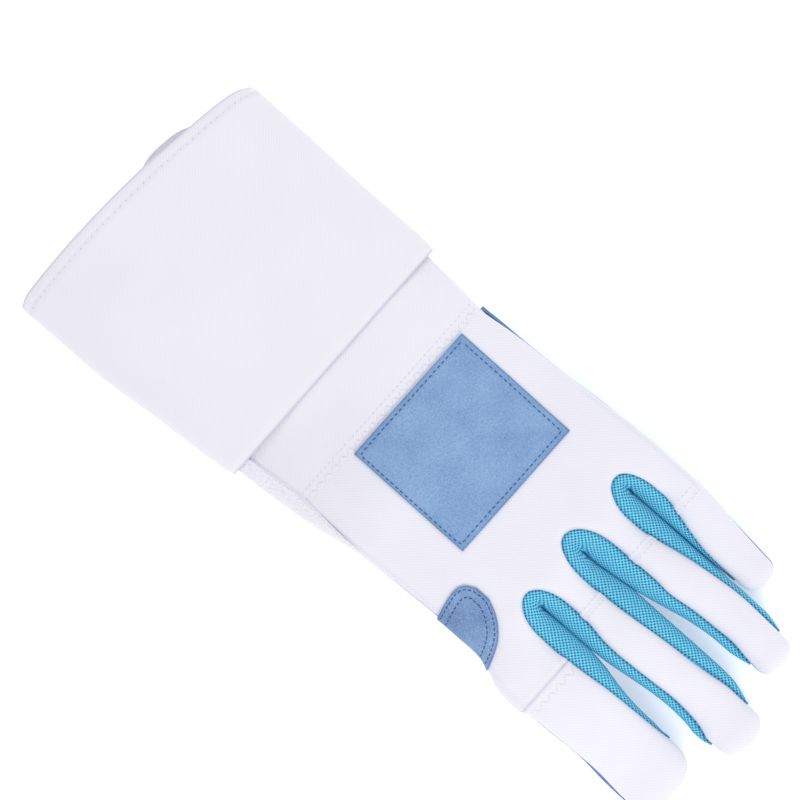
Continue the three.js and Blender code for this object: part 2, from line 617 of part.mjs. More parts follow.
// The front half is cut back a little where the fold at the crotch is tightest
const CROTCH_RELIEF = 0.3;
function splitOutward(step, turn) {
  return thumbOutward(step, turn - SPLIT_REACH).add(thumbOutward(step, turn + SPLIT_REACH)).normalize();
}
function thumbHalf(back) {
  const sheet = new Sheet();
  const rows = [];
  const steps = 1 + FAN_STEPS + TUBE_STEPS + TIP_STEPS;
  const around = 12;
  for (let i = 0; i <= steps; i += 1) {
    const twist = mix(0.5, 1, smooth((i - 1) / FAN_STEPS)) * Math.PI;
    const facing = twist + (back ? 0 : Math.PI);
    const across = thumbPoint(i, facing).sub(thumbPoint(i, facing + Math.PI));
    const away = i < steps ? across : new THREE.Vector3(0, 0, Math.cos(facing));
    away.setLength(SEAM_GAP * mix(1.3, 0.75, smooth((i - 1) / FAN_STEPS)));
    const relief = back ? 0 : CROTCH_RELIEF * (smooth(i / 1.5) - smooth((i - 2) / 4));
    const row = [];
    for (let j = 0; j <= around; j += 1) {
      const turn = facing + Math.PI * (j / around - 0.5) - relief * (j / around) ** 3;
      const point = thumbPoint(i, turn).add(away);
      const split = (j === 0 || j === around) && i < steps;
      row.push(sheet.add(point, split ? splitOutward(i > 1 ? i : 0.5, turn) : null));
    }
    rows.push(row);
  }
  sheet.grid(rows);
  return sheet;
}
const raise = () => 0.75 * SEAM_GAP;
addPiece('thumb_back', thicken(thumbHalf(true), WALL_PALM, raise), WHITE_CLOTH, 0.85);
addPiece('thumb_front', thicken(thumbHalf(false), WALL_PALM, raise), BLUE_SUEDE, 0.9);

// A point on the back of the hand found from its place in plan
function backSurface(x, y) {
  const along = y / HAND_LENGTH;
  const cut = section(along);
  return new THREE.Vector3(x, y, archHeight(1, (x - cut.centre) / cut.half, along) + SEAM_GAP / 2);
}

// The square patch sits on the back. Corners as shares of HAND_WIDTH and HAND_LENGTH
const PATCH_CENTRE = [-0.035, 0.15];
const PATCH_TURN = -0.006;
function squarePatch() {
  const sheet = new Sheet();
  const rows = [];
  const steps = 8;
  for (let i = 0; i <= steps; i += 1) {
    const row = [];
    for (let j = 0; j <= steps; j += 1) {
      const u = (j / steps - 0.5) * PATCH_SIZE;
      const v = (i / steps - 0.5) * PATCH_SIZE * 0.9;
      const x = PATCH_CENTRE[0] * HAND_WIDTH + u - v * PATCH_TURN;
      const y = PATCH_CENTRE[1] * HAND_LENGTH + v + u * PATCH_TURN;
      const point = backSurface(x, y);
      point.z += SEAM_GAP + WALL_PATCH;
      row.push(sheet.add(point, new THREE.Vector3(0, 0, 1)));
    }
    rows.push(row);
  }
  sheet.grid(rows);
  return sheet;
}
addPiece('back_patch', thicken(squarePatch(), WALL_PATCH), BLUE_SUEDE, 0.9);

// The thumb patch wraps the edge of the hand at the thumb's crotch. Columns: share of the way from its
// inner end to the hand's edge, lower and upper side along, as shares of HAND_LENGTH
const THUMB_PATCH = [[0, 0.366, 0.4], [0.12, 0.345, 0.425], [0.3, 0.336, 0.449], [0.55, 0.337, 0.47],
  [1, 0.347, 0.491]];
const THUMB_PATCH_INNER = 0.322;
function thumbPatch() {
  const sheet = new Sheet();
  const rows = [];
  const steps = 9;
  const lower = curve(THUMB_PATCH, 1);
  const upper = curve(THUMB_PATCH, 2);
  for (let i = 0; i <= steps; i += 1) {
    const row = [];
    for (let j = 0; j <= 6; j += 1) {
      const share = eased(i / steps);
      const along = mix(lower(share), upper(share), j / 6);
      const edge = section(along);
      const inner = (THUMB_PATCH_INNER * HAND_WIDTH - edge.centre) / edge.half;
      const across = mix(inner, 1, share);
      const turn = Math.acos(clamp(across, -1, 1));
      const point = ringPoint(along, turn, SEAM_GAP + WALL_PATCH);
      point.z += SEAM_GAP / 2;
      row.push(sheet.add(point, i === steps ? LEVEL : null));
    }
    rows.push(row);
  }
  sheet.grid(rows, true);
  return sheet;
}
addPiece('thumb_patch', thicken(thumbPatch(), WALL_PATCH), BLUE_SUEDE, 0.9);

// The origin is the middle of the base of the whole glove
const bounds = new THREE.Box3().setFromObject(glove);
const middle = bounds.getCenter(new THREE.Vector3());
glove.position.set(-middle.x, -middle.y, -bounds.min.z);

export default glove;
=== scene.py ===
# %% [markdown]
# # A fencing glove, palm down
# A left-hand fencing glove: a wide white gauntlet cuff, a padded white back, a blue suede palm and
# patches, and cyan mesh gussets between the fingers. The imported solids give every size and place.
# Each panel is made again here as a fine surface of its own, sewn to its neighbours by soft seams.

# %% Load the frame
import math
import bpy
import numpy as np
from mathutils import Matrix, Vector
from mathutils.bvhtree import BVHTree


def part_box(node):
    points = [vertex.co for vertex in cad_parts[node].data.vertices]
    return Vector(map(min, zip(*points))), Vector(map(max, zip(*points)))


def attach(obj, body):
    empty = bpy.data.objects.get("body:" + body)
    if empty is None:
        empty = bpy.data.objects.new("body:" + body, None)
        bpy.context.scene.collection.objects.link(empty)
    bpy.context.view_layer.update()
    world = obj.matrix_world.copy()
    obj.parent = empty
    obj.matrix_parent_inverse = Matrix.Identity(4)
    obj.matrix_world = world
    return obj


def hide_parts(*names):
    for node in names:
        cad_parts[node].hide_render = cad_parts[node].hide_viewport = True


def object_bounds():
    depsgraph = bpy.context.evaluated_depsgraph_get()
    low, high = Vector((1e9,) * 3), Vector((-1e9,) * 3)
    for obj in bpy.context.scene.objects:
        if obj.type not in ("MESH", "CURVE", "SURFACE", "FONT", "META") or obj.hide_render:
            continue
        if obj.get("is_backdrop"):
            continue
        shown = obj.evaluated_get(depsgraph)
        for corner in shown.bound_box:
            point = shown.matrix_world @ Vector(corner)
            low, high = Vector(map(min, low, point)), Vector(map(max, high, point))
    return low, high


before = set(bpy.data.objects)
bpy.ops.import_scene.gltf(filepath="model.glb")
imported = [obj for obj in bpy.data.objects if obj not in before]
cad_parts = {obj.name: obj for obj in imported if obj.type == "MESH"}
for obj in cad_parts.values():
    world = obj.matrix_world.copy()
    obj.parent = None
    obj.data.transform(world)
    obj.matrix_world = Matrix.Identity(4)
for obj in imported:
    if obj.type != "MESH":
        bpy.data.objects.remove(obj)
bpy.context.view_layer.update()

TAU = 2 * math.pi
print("nodes to dress:", len(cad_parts))

# %% [markdown]
# The sizes are the pattern's own, in millimetres, with the tables that shape each edge as shares of
# them. A glove maker works the same way: one pattern is graded up and down from a few lengths.

# %% The pattern's sizes
HAND_LENGTH = 198
HAND_WIDTH = 111
WRIST_HEIGHT = 28
HAND_HEIGHT = 24.5
FINGER_HEIGHT = 20
TIP_HEIGHT = 15.5
CUFF_LENGTH = 110
CUFF_WIDTH = 128.4
CUFF_HEIGHT = 37
BAND_TUCK = 9
THUMB_LENGTH = 52
THUMB_WIDTH = 26
THUMB_HEIGHT = 17
PATCH_SIZE = 64.5
WALL_CUFF = 2.2
WALL_BACK = 2
WALL_PALM = 1.5
WALL_MESH = 1.2
WALL_PATCH = 1.2
WALL_STRIP = 1.7
SEAM_GAP = 0.35

# Columns: along as a share of HAND_LENGTH, across as a share of HAND_WIDTH
ULNAR_EDGE = [[-0.192, -0.458], [-0.121, -0.454], [-0.051, -0.447], [0, -0.44], [0.101, -0.458],
    [0.202, -0.468], [0.303, -0.483], [0.404, -0.494], [0.505, -0.497], [0.606, -0.49],
    [0.667, -0.476], [0.727, -0.465], [0.768, -0.458]]
RADIAL_EDGE = [[-0.192, 0.559], [-0.121, 0.551], [-0.061, 0.541], [0, 0.53], [0.121, 0.512],
    [0.202, 0.505], [0.303, 0.497], [0.404, 0.494], [0.465, 0.497], [0.505, 0.526], [0.535, 0.544],
    [0.6, 0.551], [0.626, 0.544], [0.707, 0.537], [0.788, 0.533], [0.869, 0.548]]
GUSSETS = [
    dict(name="fourchette_little_ring", centre=-0.303, bottom=0.43, round=0.075, slit=0.467,
         left=[[0.505, -0.371], [0.535, -0.371], [0.576, -0.353], [0.616, -0.335], [0.667, -0.319],
               [0.768, -0.314]],
         right=[[0.505, -0.227], [0.545, -0.231], [0.586, -0.245], [0.626, -0.259], [0.667, -0.27],
                [0.727, -0.281], [0.788, -0.288], [0.869, -0.285], [0.903, -0.281]],
         left_free=[[0.505, -0.308], [0.667, -0.309], [0.768, -0.308]],
         right_free=[[0.505, -0.303], [0.727, -0.303], [0.788, -0.303], [0.869, -0.297],
                     [0.909, -0.287]]),
    dict(name="fourchette_ring_middle", centre=-0.029, bottom=0.428, round=0.085, slit=0.481,
         left=[[0.513, -0.119], [0.566, -0.119], [0.626, -0.123], [0.667, -0.119], [0.727, -0.13],
               [0.788, -0.135], [0.828, -0.137], [0.869, -0.126], [0.909, -0.119]],
         right=[[0.513, 0.043], [0.535, 0.043], [0.586, 0.036], [0.626, 0.032], [0.687, 0.022],
                [0.747, 0.011], [0.788, 0.004], [0.828, -0.004], [0.879, -0.014], [0.929, -0.011]],
         left_free=[[0.513, -0.029], [0.566, -0.04], [0.602, -0.049], [0.626, -0.056],
                    [0.687, -0.079], [0.727, -0.094], [0.788, -0.108], [0.869, -0.11],
                    [0.909, -0.114]],
         right_free=[[0.513, -0.025], [0.566, -0.036], [0.602, -0.043], [0.667, -0.043],
                     [0.808, -0.043], [0.869, -0.04], [0.909, -0.03], [0.949, -0.018]]),
    dict(name="fourchette_middle_index", centre=0.223, bottom=0.448, round=0.077, slit=0.489,
         left=[[0.525, 0.151], [0.545, 0.151], [0.586, 0.155], [0.626, 0.166], [0.667, 0.169],
               [0.707, 0.166], [0.768, 0.159], [0.808, 0.155], [0.848, 0.159], [0.889, 0.169],
               [0.919, 0.187]],
         right=[[0.525, 0.303], [0.576, 0.303], [0.626, 0.295], [0.667, 0.288], [0.707, 0.281],
                [0.768, 0.277], [0.828, 0.274], [0.869, 0.268]],
         left_free=[[0.525, 0.216], [0.586, 0.216], [0.626, 0.214], [0.667, 0.209], [0.707, 0.2],
                    [0.747, 0.191], [0.788, 0.184], [0.828, 0.182], [0.869, 0.187], [0.909, 0.2],
                    [0.949, 0.2]],
         right_free=[[0.525, 0.221], [0.586, 0.221], [0.626, 0.223], [0.667, 0.232],
                     [0.707, 0.243], [0.768, 0.254], [0.808, 0.259], [0.859, 0.262]]),
]
FINGERS = [
    dict(name="little", seam=0.566, gusset_end=0.75, tip_start=0.764, tip=0.804, thick=0.92),
    dict(name="ring", seam=0.566, gusset_end=0.886, tip_start=0.9, tip=0.937, thick=1),
    dict(name="middle", seam=0.566, gusset_end=0.936, tip_start=0.95, tip=0.994, thick=1),
    dict(name="index", seam=0.6, gusset_end=0.862, tip_start=0.878, tip=0.945, thick=1.05),
]
# Columns: along, share of the way from WRIST_HEIGHT to HAND_HEIGHT, share of CUFF_CLEAR below it
FULLNESS = [[-0.192, 0, 1], [-0.08, 0, 1], [0, 0.25, 0.6], [0.2, 0.85, 0.1], [0.43, 1, 0]]
# Sewn panels touch here, where the solids keep SEAM_GAP between them
SEWN_GAP = 0.02
TIP_POWER = ARCH_POWER = 2.6
# The thumb's root: middle and half length along the hand, and depth across it
ROOT_MIDDLE, ROOT_HALF, ROOT_DEPTH = 0.279, 0.145, 0.162
THUMB_ACROSS = (0.36, 0.335)
# The raised floor: where its rise, its fall at the fingers and its slope across begin and end
LIFT_START, LIFT_FULL = -0.14, 0.162
LIFT_FALL = (0.64, 0.93)
LIFT_ACROSS = (-0.43, 0.36)
PATCH_CENTRE = (-0.035, 0.15)
PATCH_TURN = -0.006
# Half the patch's sides, of which the one along the hand is a tenth shorter
PATCH_HALF = np.array([PATCH_SIZE, PATCH_SIZE * 0.9]) / 2
CUFF_CLEAR = WALL_CUFF + 1.5 * SEAM_GAP
STEP_START = -0.15

# %% [markdown]
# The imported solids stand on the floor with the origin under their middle. The pattern starts at the
# wrist seam, so one shift joins the two. It comes from the square patch, whose corner is known in
# both.

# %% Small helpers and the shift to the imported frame
def mix(a, b, t):
    """a at t = 0, b at t = 1, in a straight line between."""
    return a + (b - a) * t


def smooth(t):
    """An S-shaped step: 3 t squared less 2 t cubed, level before 0 and after 1."""
    t = np.clip(t, 0, 1)
    return t * t * (3 - 2 * t)


def eased(t):
    """The sine of t quarter turns: quick at first, then slow."""
    return np.sin(np.asarray(t) * math.pi / 2)


def hump(distance, reach):
    """A bell: e to the power of minus the square of distance over reach."""
    return np.exp(-(distance / reach) ** 2)


def unit(vectors):
    """Each vector made one long. A zero stays zero."""
    return vectors / np.maximum(np.linalg.norm(vectors, axis=-1, keepdims=True), 1e-12)


def running(points, axis=0):
    """Length along a line of points, or along a grid's lines, counted from the first point."""
    step = np.linalg.norm(np.diff(points, axis=axis), axis=-1)
    return np.insert(np.cumsum(step, axis=axis), 0, 0, axis=axis)


def curve(rows, column=1):
    """A cubic line through a table's rows. Each row's slope is that of the line between its
    neighbours, and the line is level beyond the ends."""
    table = np.array(rows, float)
    at, value = table[:, 0], table[:, column]
    before = np.maximum(np.arange(len(at)) - 1, 0)
    after = np.minimum(np.arange(len(at)) + 1, len(at) - 1)
    slope = (value[after] - value[before]) / (at[after] - at[before])

    def line(along):
        along = np.clip(along, at[0], at[-1])
        i = np.clip(np.searchsorted(at, along, side="right") - 1, 0, len(at) - 2)
        span = at[i + 1] - at[i]
        t = (along - at[i]) / span
        ends = value[i] * (2 * t**3 - 3 * t**2 + 1) + value[i + 1] * (3 * t**2 - 2 * t**3)
        return ends + span * (slope[i] * (t**3 - 2 * t**2 + t) + slope[i + 1] * (t**3 - t**2))

    return line


patch_low = np.array(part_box("back_patch")[0]) * 1000
patch_corner = (np.array(PATCH_CENTRE) * (HAND_WIDTH, HAND_LENGTH) - PATCH_HALF
                - abs(PATCH_TURN) * PATCH_HALF[::-1])
SHIFT = np.array([*(patch_low[:2] - patch_corner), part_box("cuff")[0][2] * 1000])
print("shift to the packed frame, mm:", np.round(SHIFT, 2))

# %% [markdown]
# The glove lies palm down with its thumb folded under the palm, so the thumb's side is raised. The
# raised floor is one smooth hill that every panel is laid over. The wrist and hand have the section
# of two flattened arches that meet at the sides, as a lightly filled glove has.

# %% The lie of the hand and its cross-section
LIFT = THUMB_HEIGHT + 1.5 * SEAM_GAP
ulnar_edge, radial_edge = curve(ULNAR_EDGE), curve(RADIAL_EDGE)
full_share, carried_share = curve(FULLNESS, 1), curve(FULLNESS, 2)


def bed(x, y):
    """Height of the hill: a rise along the hand, a fall at the fingers and a slope across,
    multiplied."""
    along, across = y / HAND_LENGTH, x / HAND_WIDTH
    rise = smooth((along - LIFT_START) / (LIFT_FULL - LIFT_START))
    fall = 1 - smooth((along - LIFT_FALL[0]) / (LIFT_FALL[1] - LIFT_FALL[0]))
    side = smooth((across - LIFT_ACROSS[0]) / (LIFT_ACROSS[1] - LIFT_ACROSS[0]))
    return LIFT * rise * fall * side + SEAM_GAP / 2


def section(along):
    """Centre, half width, mid height and full height of the hand at a share along."""
    left, right = ulnar_edge(along) * HAND_WIDTH, radial_edge(along) * HAND_WIDTH
    full = mix(WRIST_HEIGHT, HAND_HEIGHT, full_share(along))
    middle = full / 2 + CUFF_CLEAR * carried_share(along)
    return (left + right) / 2, (right - left) / 2, middle, full


def arch(across):
    """Height of the flattened arch: root of one less the distance across to the power 2.6."""
    return np.sqrt(np.maximum(0, 1 - np.abs(across) ** ARCH_POWER))


def arch_height(side, x, along):
    """Height of the hand's upper arch (side 1) or lower arch (side -1) at x."""
    centre, half, middle, full = section(along)
    return middle + side * arch((x - centre) / half) * full / 2


# %% [markdown]
# Cloth has a wall, and a sewn edge never ends sharp: it rolls down into its seam. One helper turns
# grids of points into a closed shell. It welds the grids, sinks each point near an edge or a row of
# stitches along its normal, grows the wall inwards and closes the rim. The mesh keeps a UV map in
# millimetres, so that a weave follows its cloth, and a number called seam, which is 1 at an edge and
# sets the painted shade that the materials lay along edges and grooves.

# %% Shells from grids of points
ROLL_DEPTH, ROLL_REACH = 0.8, 1.7
# A butted edge meets the next panel end to end, so it dips less. Within BUTT_NEAR no roll is added
BUTT_DEPTH, BUTT_REACH, BUTT_NEAR = 0.22, 0.5, 2
# Reach of the painted shade from an edge, and its share of a groove's depth
SHADE_REACH, GROOVE_SHADE = 0.65, 0.8
# A dip takes up to this share of the wall, and from there on it moves the inner face as well
THINNED = 0.6
SHARP_ANGLE = math.radians(55)
LEVEL, UPRIGHT = 1, 2


def distance_to(points, path, chunk=4000):
    """Distance from each point to the nearest point of a path, worked out in blocks."""
    out = np.empty(len(points))
    for start in range(0, len(points), chunk):
        block = points[start:start + chunk, None, :] - path[None, :, :]
        out[start:start + chunk] = np.sqrt((block ** 2).sum(-1).min(1))
    return out


def densify(path, step=0.6):
    """The same line with a point every step millimetres."""
    path = np.asarray(path, float)
    run = running(path)
    at = np.linspace(0, run[-1], max(2, int(run[-1] / step)))
    return np.stack([np.interp(at, run, path[:, i]) for i in range(path.shape[1])], 1)


def weld(points):
    """Numbers each point by its place, so that points less than 0.001 mm apart are one."""
    keys = np.rint(points * 1000).astype(np.int64)
    _, first, index = np.unique(keys, axis=0, return_index=True, return_inverse=True)
    return first, index.reshape(-1)


def vertex_normals(points, triangles):
    """Sum of the cross products of the triangles round each point, made one long."""
    a, b, c = (points[triangles[:, i]] for i in range(3))
    cross = np.cross(b - a, c - a)
    total = np.zeros_like(points)
    for i in range(3):
        np.add.at(total, triangles[:, i], cross)
    return unit(total)


def grid_triangles(rows, columns, flip, start):
    """Two triangles for each cell of a grid of numbered points."""
    i, j = np.meshgrid(np.arange(rows - 1), np.arange(columns - 1), indexing="ij")
    a = (i * columns + j).ravel()
    b, c, d = a + 1, a + columns + 1, a + columns
    cells = np.concatenate([np.stack([a, b, c], 1), np.stack([a, c, d], 1)]) + start
    return cells[:, ::-1] if flip else cells


def linked(name, data):
    """A new object in the scene."""
    made = bpy.data.objects.new(name, data)
    bpy.context.scene.collection.objects.link(made)
    return made


def mesh_object(name, points, triangles, uv, material):
    """A smooth-shaded mesh object at the origin, its points in packed metres."""
    mesh = bpy.data.meshes.new(name)
    mesh.from_pydata(((points + SHIFT) / 1000).tolist(), [], triangles.tolist())
    if uv is not None:
        layer = mesh.uv_layers.new(name="UVMap")
        layer.data.foreach_set("uv", (uv / 1000).astype(np.float32).ravel())
    mesh.polygons.foreach_set("use_smooth", np.ones(len(triangles), bool))
    mesh.set_sharp_from_angle(angle=SHARP_ANGLE)
    mesh.materials.append(material)
    mesh.validate()
    piece = linked(name, mesh)
    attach(piece, "root")
    return piece


def shell(name, grids, wall, material, node, over=bed, flip=False, grooves=(), relief=None,
          roll=ROLL_DEPTH):
    """A closed shell that stands for one CAD node. grids are (points, uv, growth, flags): growth
    holds a shared wall direction where it isn't zero, and flags say whether the wall at an edge
    grows LEVEL or UPRIGHT. relief lifts the surface, and grooves are (path, depth, reach)."""
    points, uv, growth = [np.concatenate([grid[i].reshape(-1, size) for grid in grids])
                          for i, size in enumerate((3, 2, 3))]
    flags = np.concatenate([grid[3].reshape(-1) for grid in grids])
    triangles, start = [], 0
    for grid in grids:
        rows, columns = grid[0].shape[:2]
        triangles.append(grid_triangles(rows, columns, flip, start))
        start += rows * columns
    triangles = np.concatenate(triangles)
    first, index = weld(points)
    points, growth, flags = points[first], growth[first], flags[first]
    welded = index[triangles]
    kept = (welded != np.roll(welded, -1, axis=1)).all(1)
    welded, triangles = welded[kept], triangles[kept]
    normals = vertex_normals(points, welded)
    if relief is not None:
        points = points + normals * relief(points)[:, None]
    count = len(points)
    edges = np.concatenate([welded[:, pair] for pair in ([0, 1], [1, 2], [2, 0])])
    codes, back = edges[:, 0] * count + edges[:, 1], edges[:, 1] * count + edges[:, 0]
    rim = edges[~np.isin(codes, back)]
    edge = np.unique(rim)
    butted = flags[edge] == UPRIGHT
    free = distance_to(points, points[edge[~butted]])
    sink, seam = roll * hump(free, ROLL_REACH), hump(free, SHADE_REACH)
    if butted.any():
        far = distance_to(points, points[edge[butted]])
        sink = np.where(far < BUTT_NEAR, BUTT_DEPTH * hump(far, BUTT_REACH), sink)
    for path, depth, reach in grooves:
        dip = depth * hump(distance_to(points[:, :path.shape[1]], densify(path)), reach)
        sink, seam = np.maximum(sink, dip), np.maximum(seam, GROOVE_SHADE * dip)
    named = normals.copy()
    named[flags == LEVEL, 2] = 0
    named[flags == UPRIGHT, 1] = 0
    given = np.abs(growth).sum(1) > 0
    named[given] = growth[given]
    named = unit(named)
    outer = points - normals * sink[:, None]
    deep = wall(points) if callable(wall) else np.full(count, float(wall))
    follow = np.maximum(0, sink - THINNED * deep)
    inner = points - named * deep[:, None] - normals * follow[:, None]
    both = np.concatenate([outer, inner])
    both[:, 2] += over(both[:, 0], both[:, 1])
    a, b = rim[:, 0], rim[:, 1]
    faces = np.concatenate([welded, welded[:, ::-1] + count, np.stack([b, a, a + count], 1),
                            np.stack([b, a + count, b + count], 1)])
    rim_uv = uv[first]
    corners = np.concatenate([uv[triangles], uv[triangles[:, ::-1]], rim_uv[np.stack([b, a, a], 1)],
                              rim_uv[np.stack([b, a, b], 1)]])
    piece = mesh_object(name, both, faces, corners.reshape(-1, 2), material)
    # The number called seam sets the painted shade on the outer face along edges and grooves; the
    # inner face gets none
    shade = piece.data.attributes.new("seam", "FLOAT", "POINT")
    shade.data.foreach_set("value", np.concatenate([seam, 0 * seam]).astype(np.float32))
    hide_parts(node)
    print(name, "triangles:", len(faces))
    return piece


def level_floor(height):
    """What a shell is laid over where the raised floor isn't under it."""
    return lambda x, y: 0 * x + height


# %% [markdown]
# Materials. Each starts from what the cloth is. One function adds a node with its settings and
# links, and one turns a hex colour to the linear values that the shader wants.

# %% Colour and node helpers
def linear(code):
    """sRGB hex to linear: a straight part below 0.04045 and a power of 2.4 above it."""
    parts = [int(code[i:i + 2], 16) / 255 for i in (1, 3, 5)]
    return (*[v / 12.92 if v <= 0.04045 else ((v + 0.055) / 1.055) ** 2.4 for v in parts], 1)


def add(tree, kind, settings=None, **inputs):
    """Adds a node. Settings are its own properties. An input is a value, or an output to link."""
    node = tree.nodes.new(kind)
    for key, value in (settings or {}).items():
        setattr(node, key, value)
    for key, value in inputs.items():
        name = int(key[1:]) if key[0] == "i" and key[1:].isdigit() else key.replace("_", " ")
        socket = node.inputs[name]
        if isinstance(value, bpy.types.NodeSocket):
            tree.links.new(value, socket)
        else:
            socket.default_value = value
    return node


def new_material(name):
    """A material with its shader, and its tree."""
    material = bpy.data.materials.new(name)
    material.use_nodes = True
    tree = material.node_tree
    return material, tree, tree.nodes["Principled BSDF"]


def ramp(tree, source, stops):
    """A colour ramp through stops of place and hex colour."""
    node = add(tree, "ShaderNodeValToRGB", Fac=source)
    while len(node.color_ramp.elements) < len(stops):
        node.color_ramp.elements.new(0.5)
    for element, (place, colour) in zip(node.color_ramp.elements, stops):
        element.position, element.color = place, linear(colour)
    return node.outputs["Color"]


def math_node(tree, operation, a, b=0.0, c=0.0):
    """Two or three numbers joined by one sum."""
    return add(tree, "ShaderNodeMath", {"operation": operation}, i0=a, i1=b, i2=c).outputs[0]


def mixed(tree, a, b, share):
    """A share of one number and the rest of another."""
    return math_node(tree, "ADD", math_node(tree, "MULTIPLY", a, share),
                     math_node(tree, "MULTIPLY", b, 1 - share))


def noise(tree, place, scale, detail, output="Fac", **more):
    """Noise whose bumps are about 1 / scale metres across."""
    return add(tree, "ShaderNodeTexNoise", Vector=place, Scale=scale, Detail=detail,
               **more).outputs[output]


def cloth_place(tree):
    """Place on the cloth, by the UV map."""
    return add(tree, "ShaderNodeUVMap", {"uv_map": "UVMap"}).outputs["UV"]


def object_place(tree):
    """Place in the object's own space."""
    return add(tree, "ShaderNodeTexCoord").outputs["Object"]


MM = 0.001
WOBBLE = 0.0002


def shaken(tree, place, scale, detail):
    """A place moved a little by noise, so that no thread runs as straight as a rule."""
    wobble = noise(tree, place, scale, detail, "Color")
    return add(tree, "ShaderNodeMix", {"data_type": "VECTOR"}, Factor=WOBBLE, i4=place,
               i5=wobble).outputs[1]


def seam_shade(tree, colour, tint):
    """A colour times a tint by the number called seam: painted shade along edges and in grooves."""
    seam = add(tree, "ShaderNodeAttribute", {"attribute_name": "seam"}).outputs["Fac"]
    return add(tree, "ShaderNodeMix", {"data_type": "RGBA", "blend_type": "MULTIPLY"}, i0=seam,
               i6=colour, i7=linear(tint)).outputs[2]


def dress(tree, shader, colour, relief, strength, depth, roughness, sheen=0.0, gloss=0.5):
    """Joins a colour and a relief to the shader. depth is the relief's height in metres."""
    bump = add(tree, "ShaderNodeBump", Strength=strength, Distance=depth, Height=relief)
    tree.links.new(colour, shader.inputs["Base Color"])
    tree.links.new(bump.outputs["Normal"], shader.inputs["Normal"])
    for name, value in (("Roughness", roughness), ("Sheen Weight", sheen),
                        ("Specular IOR Level", gloss)):
        shader.inputs[name].default_value = value


# %% [markdown]
# White cotton twill: a bleached cloth whose threads cross at a slant, 1.1 mm apart as drawn. Real
# threads are 0.3 mm and would not show from here, so they are drawn coarser. It is matt with a
# faint sheen of fibre ends, and its white leans a little to violet.

# %% White twill
TWILL_PITCH = 1.1


def twill(name, light, shade, bump):
    """Slanting ribs crossed by finer threads, with slow clouds of light and shade over them."""
    material, tree, shader = new_material(name)
    place = cloth_place(tree)
    moved = shaken(tree, place, 120.0, 3.0)
    ribs = add(tree, "ShaderNodeTexWave", {"bands_direction": "DIAGONAL"}, Vector=moved,
               Scale=TAU / (10 * math.sqrt(2) * TWILL_PITCH * MM)).outputs["Fac"]
    threads = add(tree, "ShaderNodeTexWave", {"bands_direction": "X"}, Vector=moved,
                  Scale=TAU / (20 * 0.5 * TWILL_PITCH * MM)).outputs["Fac"]
    weave = mixed(tree, ribs, threads, 0.65)
    tone = mixed(tree, weave, noise(tree, place, 28.0, 3.0), 0.45)
    colour = ramp(tree, tone, [(0.15, shade), (0.75, light)])
    relief = math_node(tree, "MULTIPLY_ADD", noise(tree, place, 900.0, 2.0), 0.7, weave)
    dress(tree, shader, seam_shade(tree, colour, "#dddce6"), relief, bump, 0.00012, 0.88,
          sheen=0.15, gloss=0.25)
    return material


white_twill = twill("white_cotton_twill", "#eeedf6", "#e4e3ee", 0.45)
cuff_twill = twill("white_cuff_twill", "#edecf5", "#e5e4ed", 0.4)

# %% [markdown]
# Blue synthetic suede: a fine nap of short fibres, so it has no gloss but a soft, cloudy grain of
# lighter and darker blue, 0.4 to 0.9 mm across.

# %% Blue suede
def suede(name, light, middle, dark, grain):
    """Fine noise with grain millimetres between its specks, and slow clouds over it."""
    material, tree, shader = new_material(name)
    place = object_place(tree)
    fine = noise(tree, place, 1 / (grain * MM), 4.0, Roughness=0.7)
    tone = mixed(tree, fine, noise(tree, place, 60.0, 3.0), 0.75)
    colour = ramp(tree, tone, [(0.33, dark), (0.5, middle), (0.68, light)])
    dress(tree, shader, seam_shade(tree, colour, "#bfd0e7"), fine, 0.5, 0.0002, 0.95,
          sheen=0.3, gloss=0.2)
    return material


patch_suede = suede("blue_patch_suede", "#9fbde2", "#83a5d0", "#6888b6", 0.55)
tongue_suede = suede("blue_tongue_suede", "#b3cdee", "#7c9cc9", "#45628f", 0.4)
palm_suede = suede("blue_palm_suede", "#93b1d8", "#7f9fcb", "#6484b2", 0.9)

# %% [markdown]
# Cyan spacer mesh: a knitted fabric of slanting loops round small holes. The holes stand in staggered
# rows, about 1.2 mm apart. The holes are coloured dark as painted shade, and a speckle of painted
# highlight brightens the loops.

# %% Cyan mesh
MESH_PITCH, LOOP_SLANT = 1.75, 0.15
mesh_material, tree, shader = new_material("cyan_spacer_mesh")
place = cloth_place(tree)
parts = add(tree, "ShaderNodeSeparateXYZ", Vector=shaken(tree, place, 400.0, 2.0))
along_row = math_node(tree, "MULTIPLY_ADD", parts.outputs[1], LOOP_SLANT, parts.outputs[0])
holes = math_node(tree, "MULTIPLY", *[
    math_node(tree, "COSINE", math_node(tree, "MULTIPLY", way, TAU / (MESH_PITCH * MM)))
    for way in (along_row, parts.outputs[1])])
loops = add(tree, "ShaderNodeMapRange", {"interpolation_type": "SMOOTHSTEP"}, Value=holes,
            From_Min=0.92, From_Max=-0.3).outputs[0]
# A speckle of painted highlight over the loops
painted_highlight = math_node(tree, "MULTIPLY_ADD", noise(tree, place, 1300.0, 2.0), 0.7, 0.55)
knit = math_node(tree, "MULTIPLY", loops, painted_highlight)
# The dark lowest stop is painted shade in the holes, the bright top stop painted highlight on the
# loops
colour = ramp(tree, knit, [(0.0, "#0c5f86"), (0.3, "#2c97c6"), (0.65, "#4cb6df"), (1.0, "#8adef8")])
dress(tree, shader, seam_shade(tree, colour, "#9cc3d6"), knit, 0.8, 0.00035, 0.75, gloss=0.3)

# %% [markdown]
# Loop tape is a carpet of tiny fuzzy loops. From here it is a woolly, slightly greyer white. The
# sewing thread is twisted polyester, with soft stripes where its plies turn.

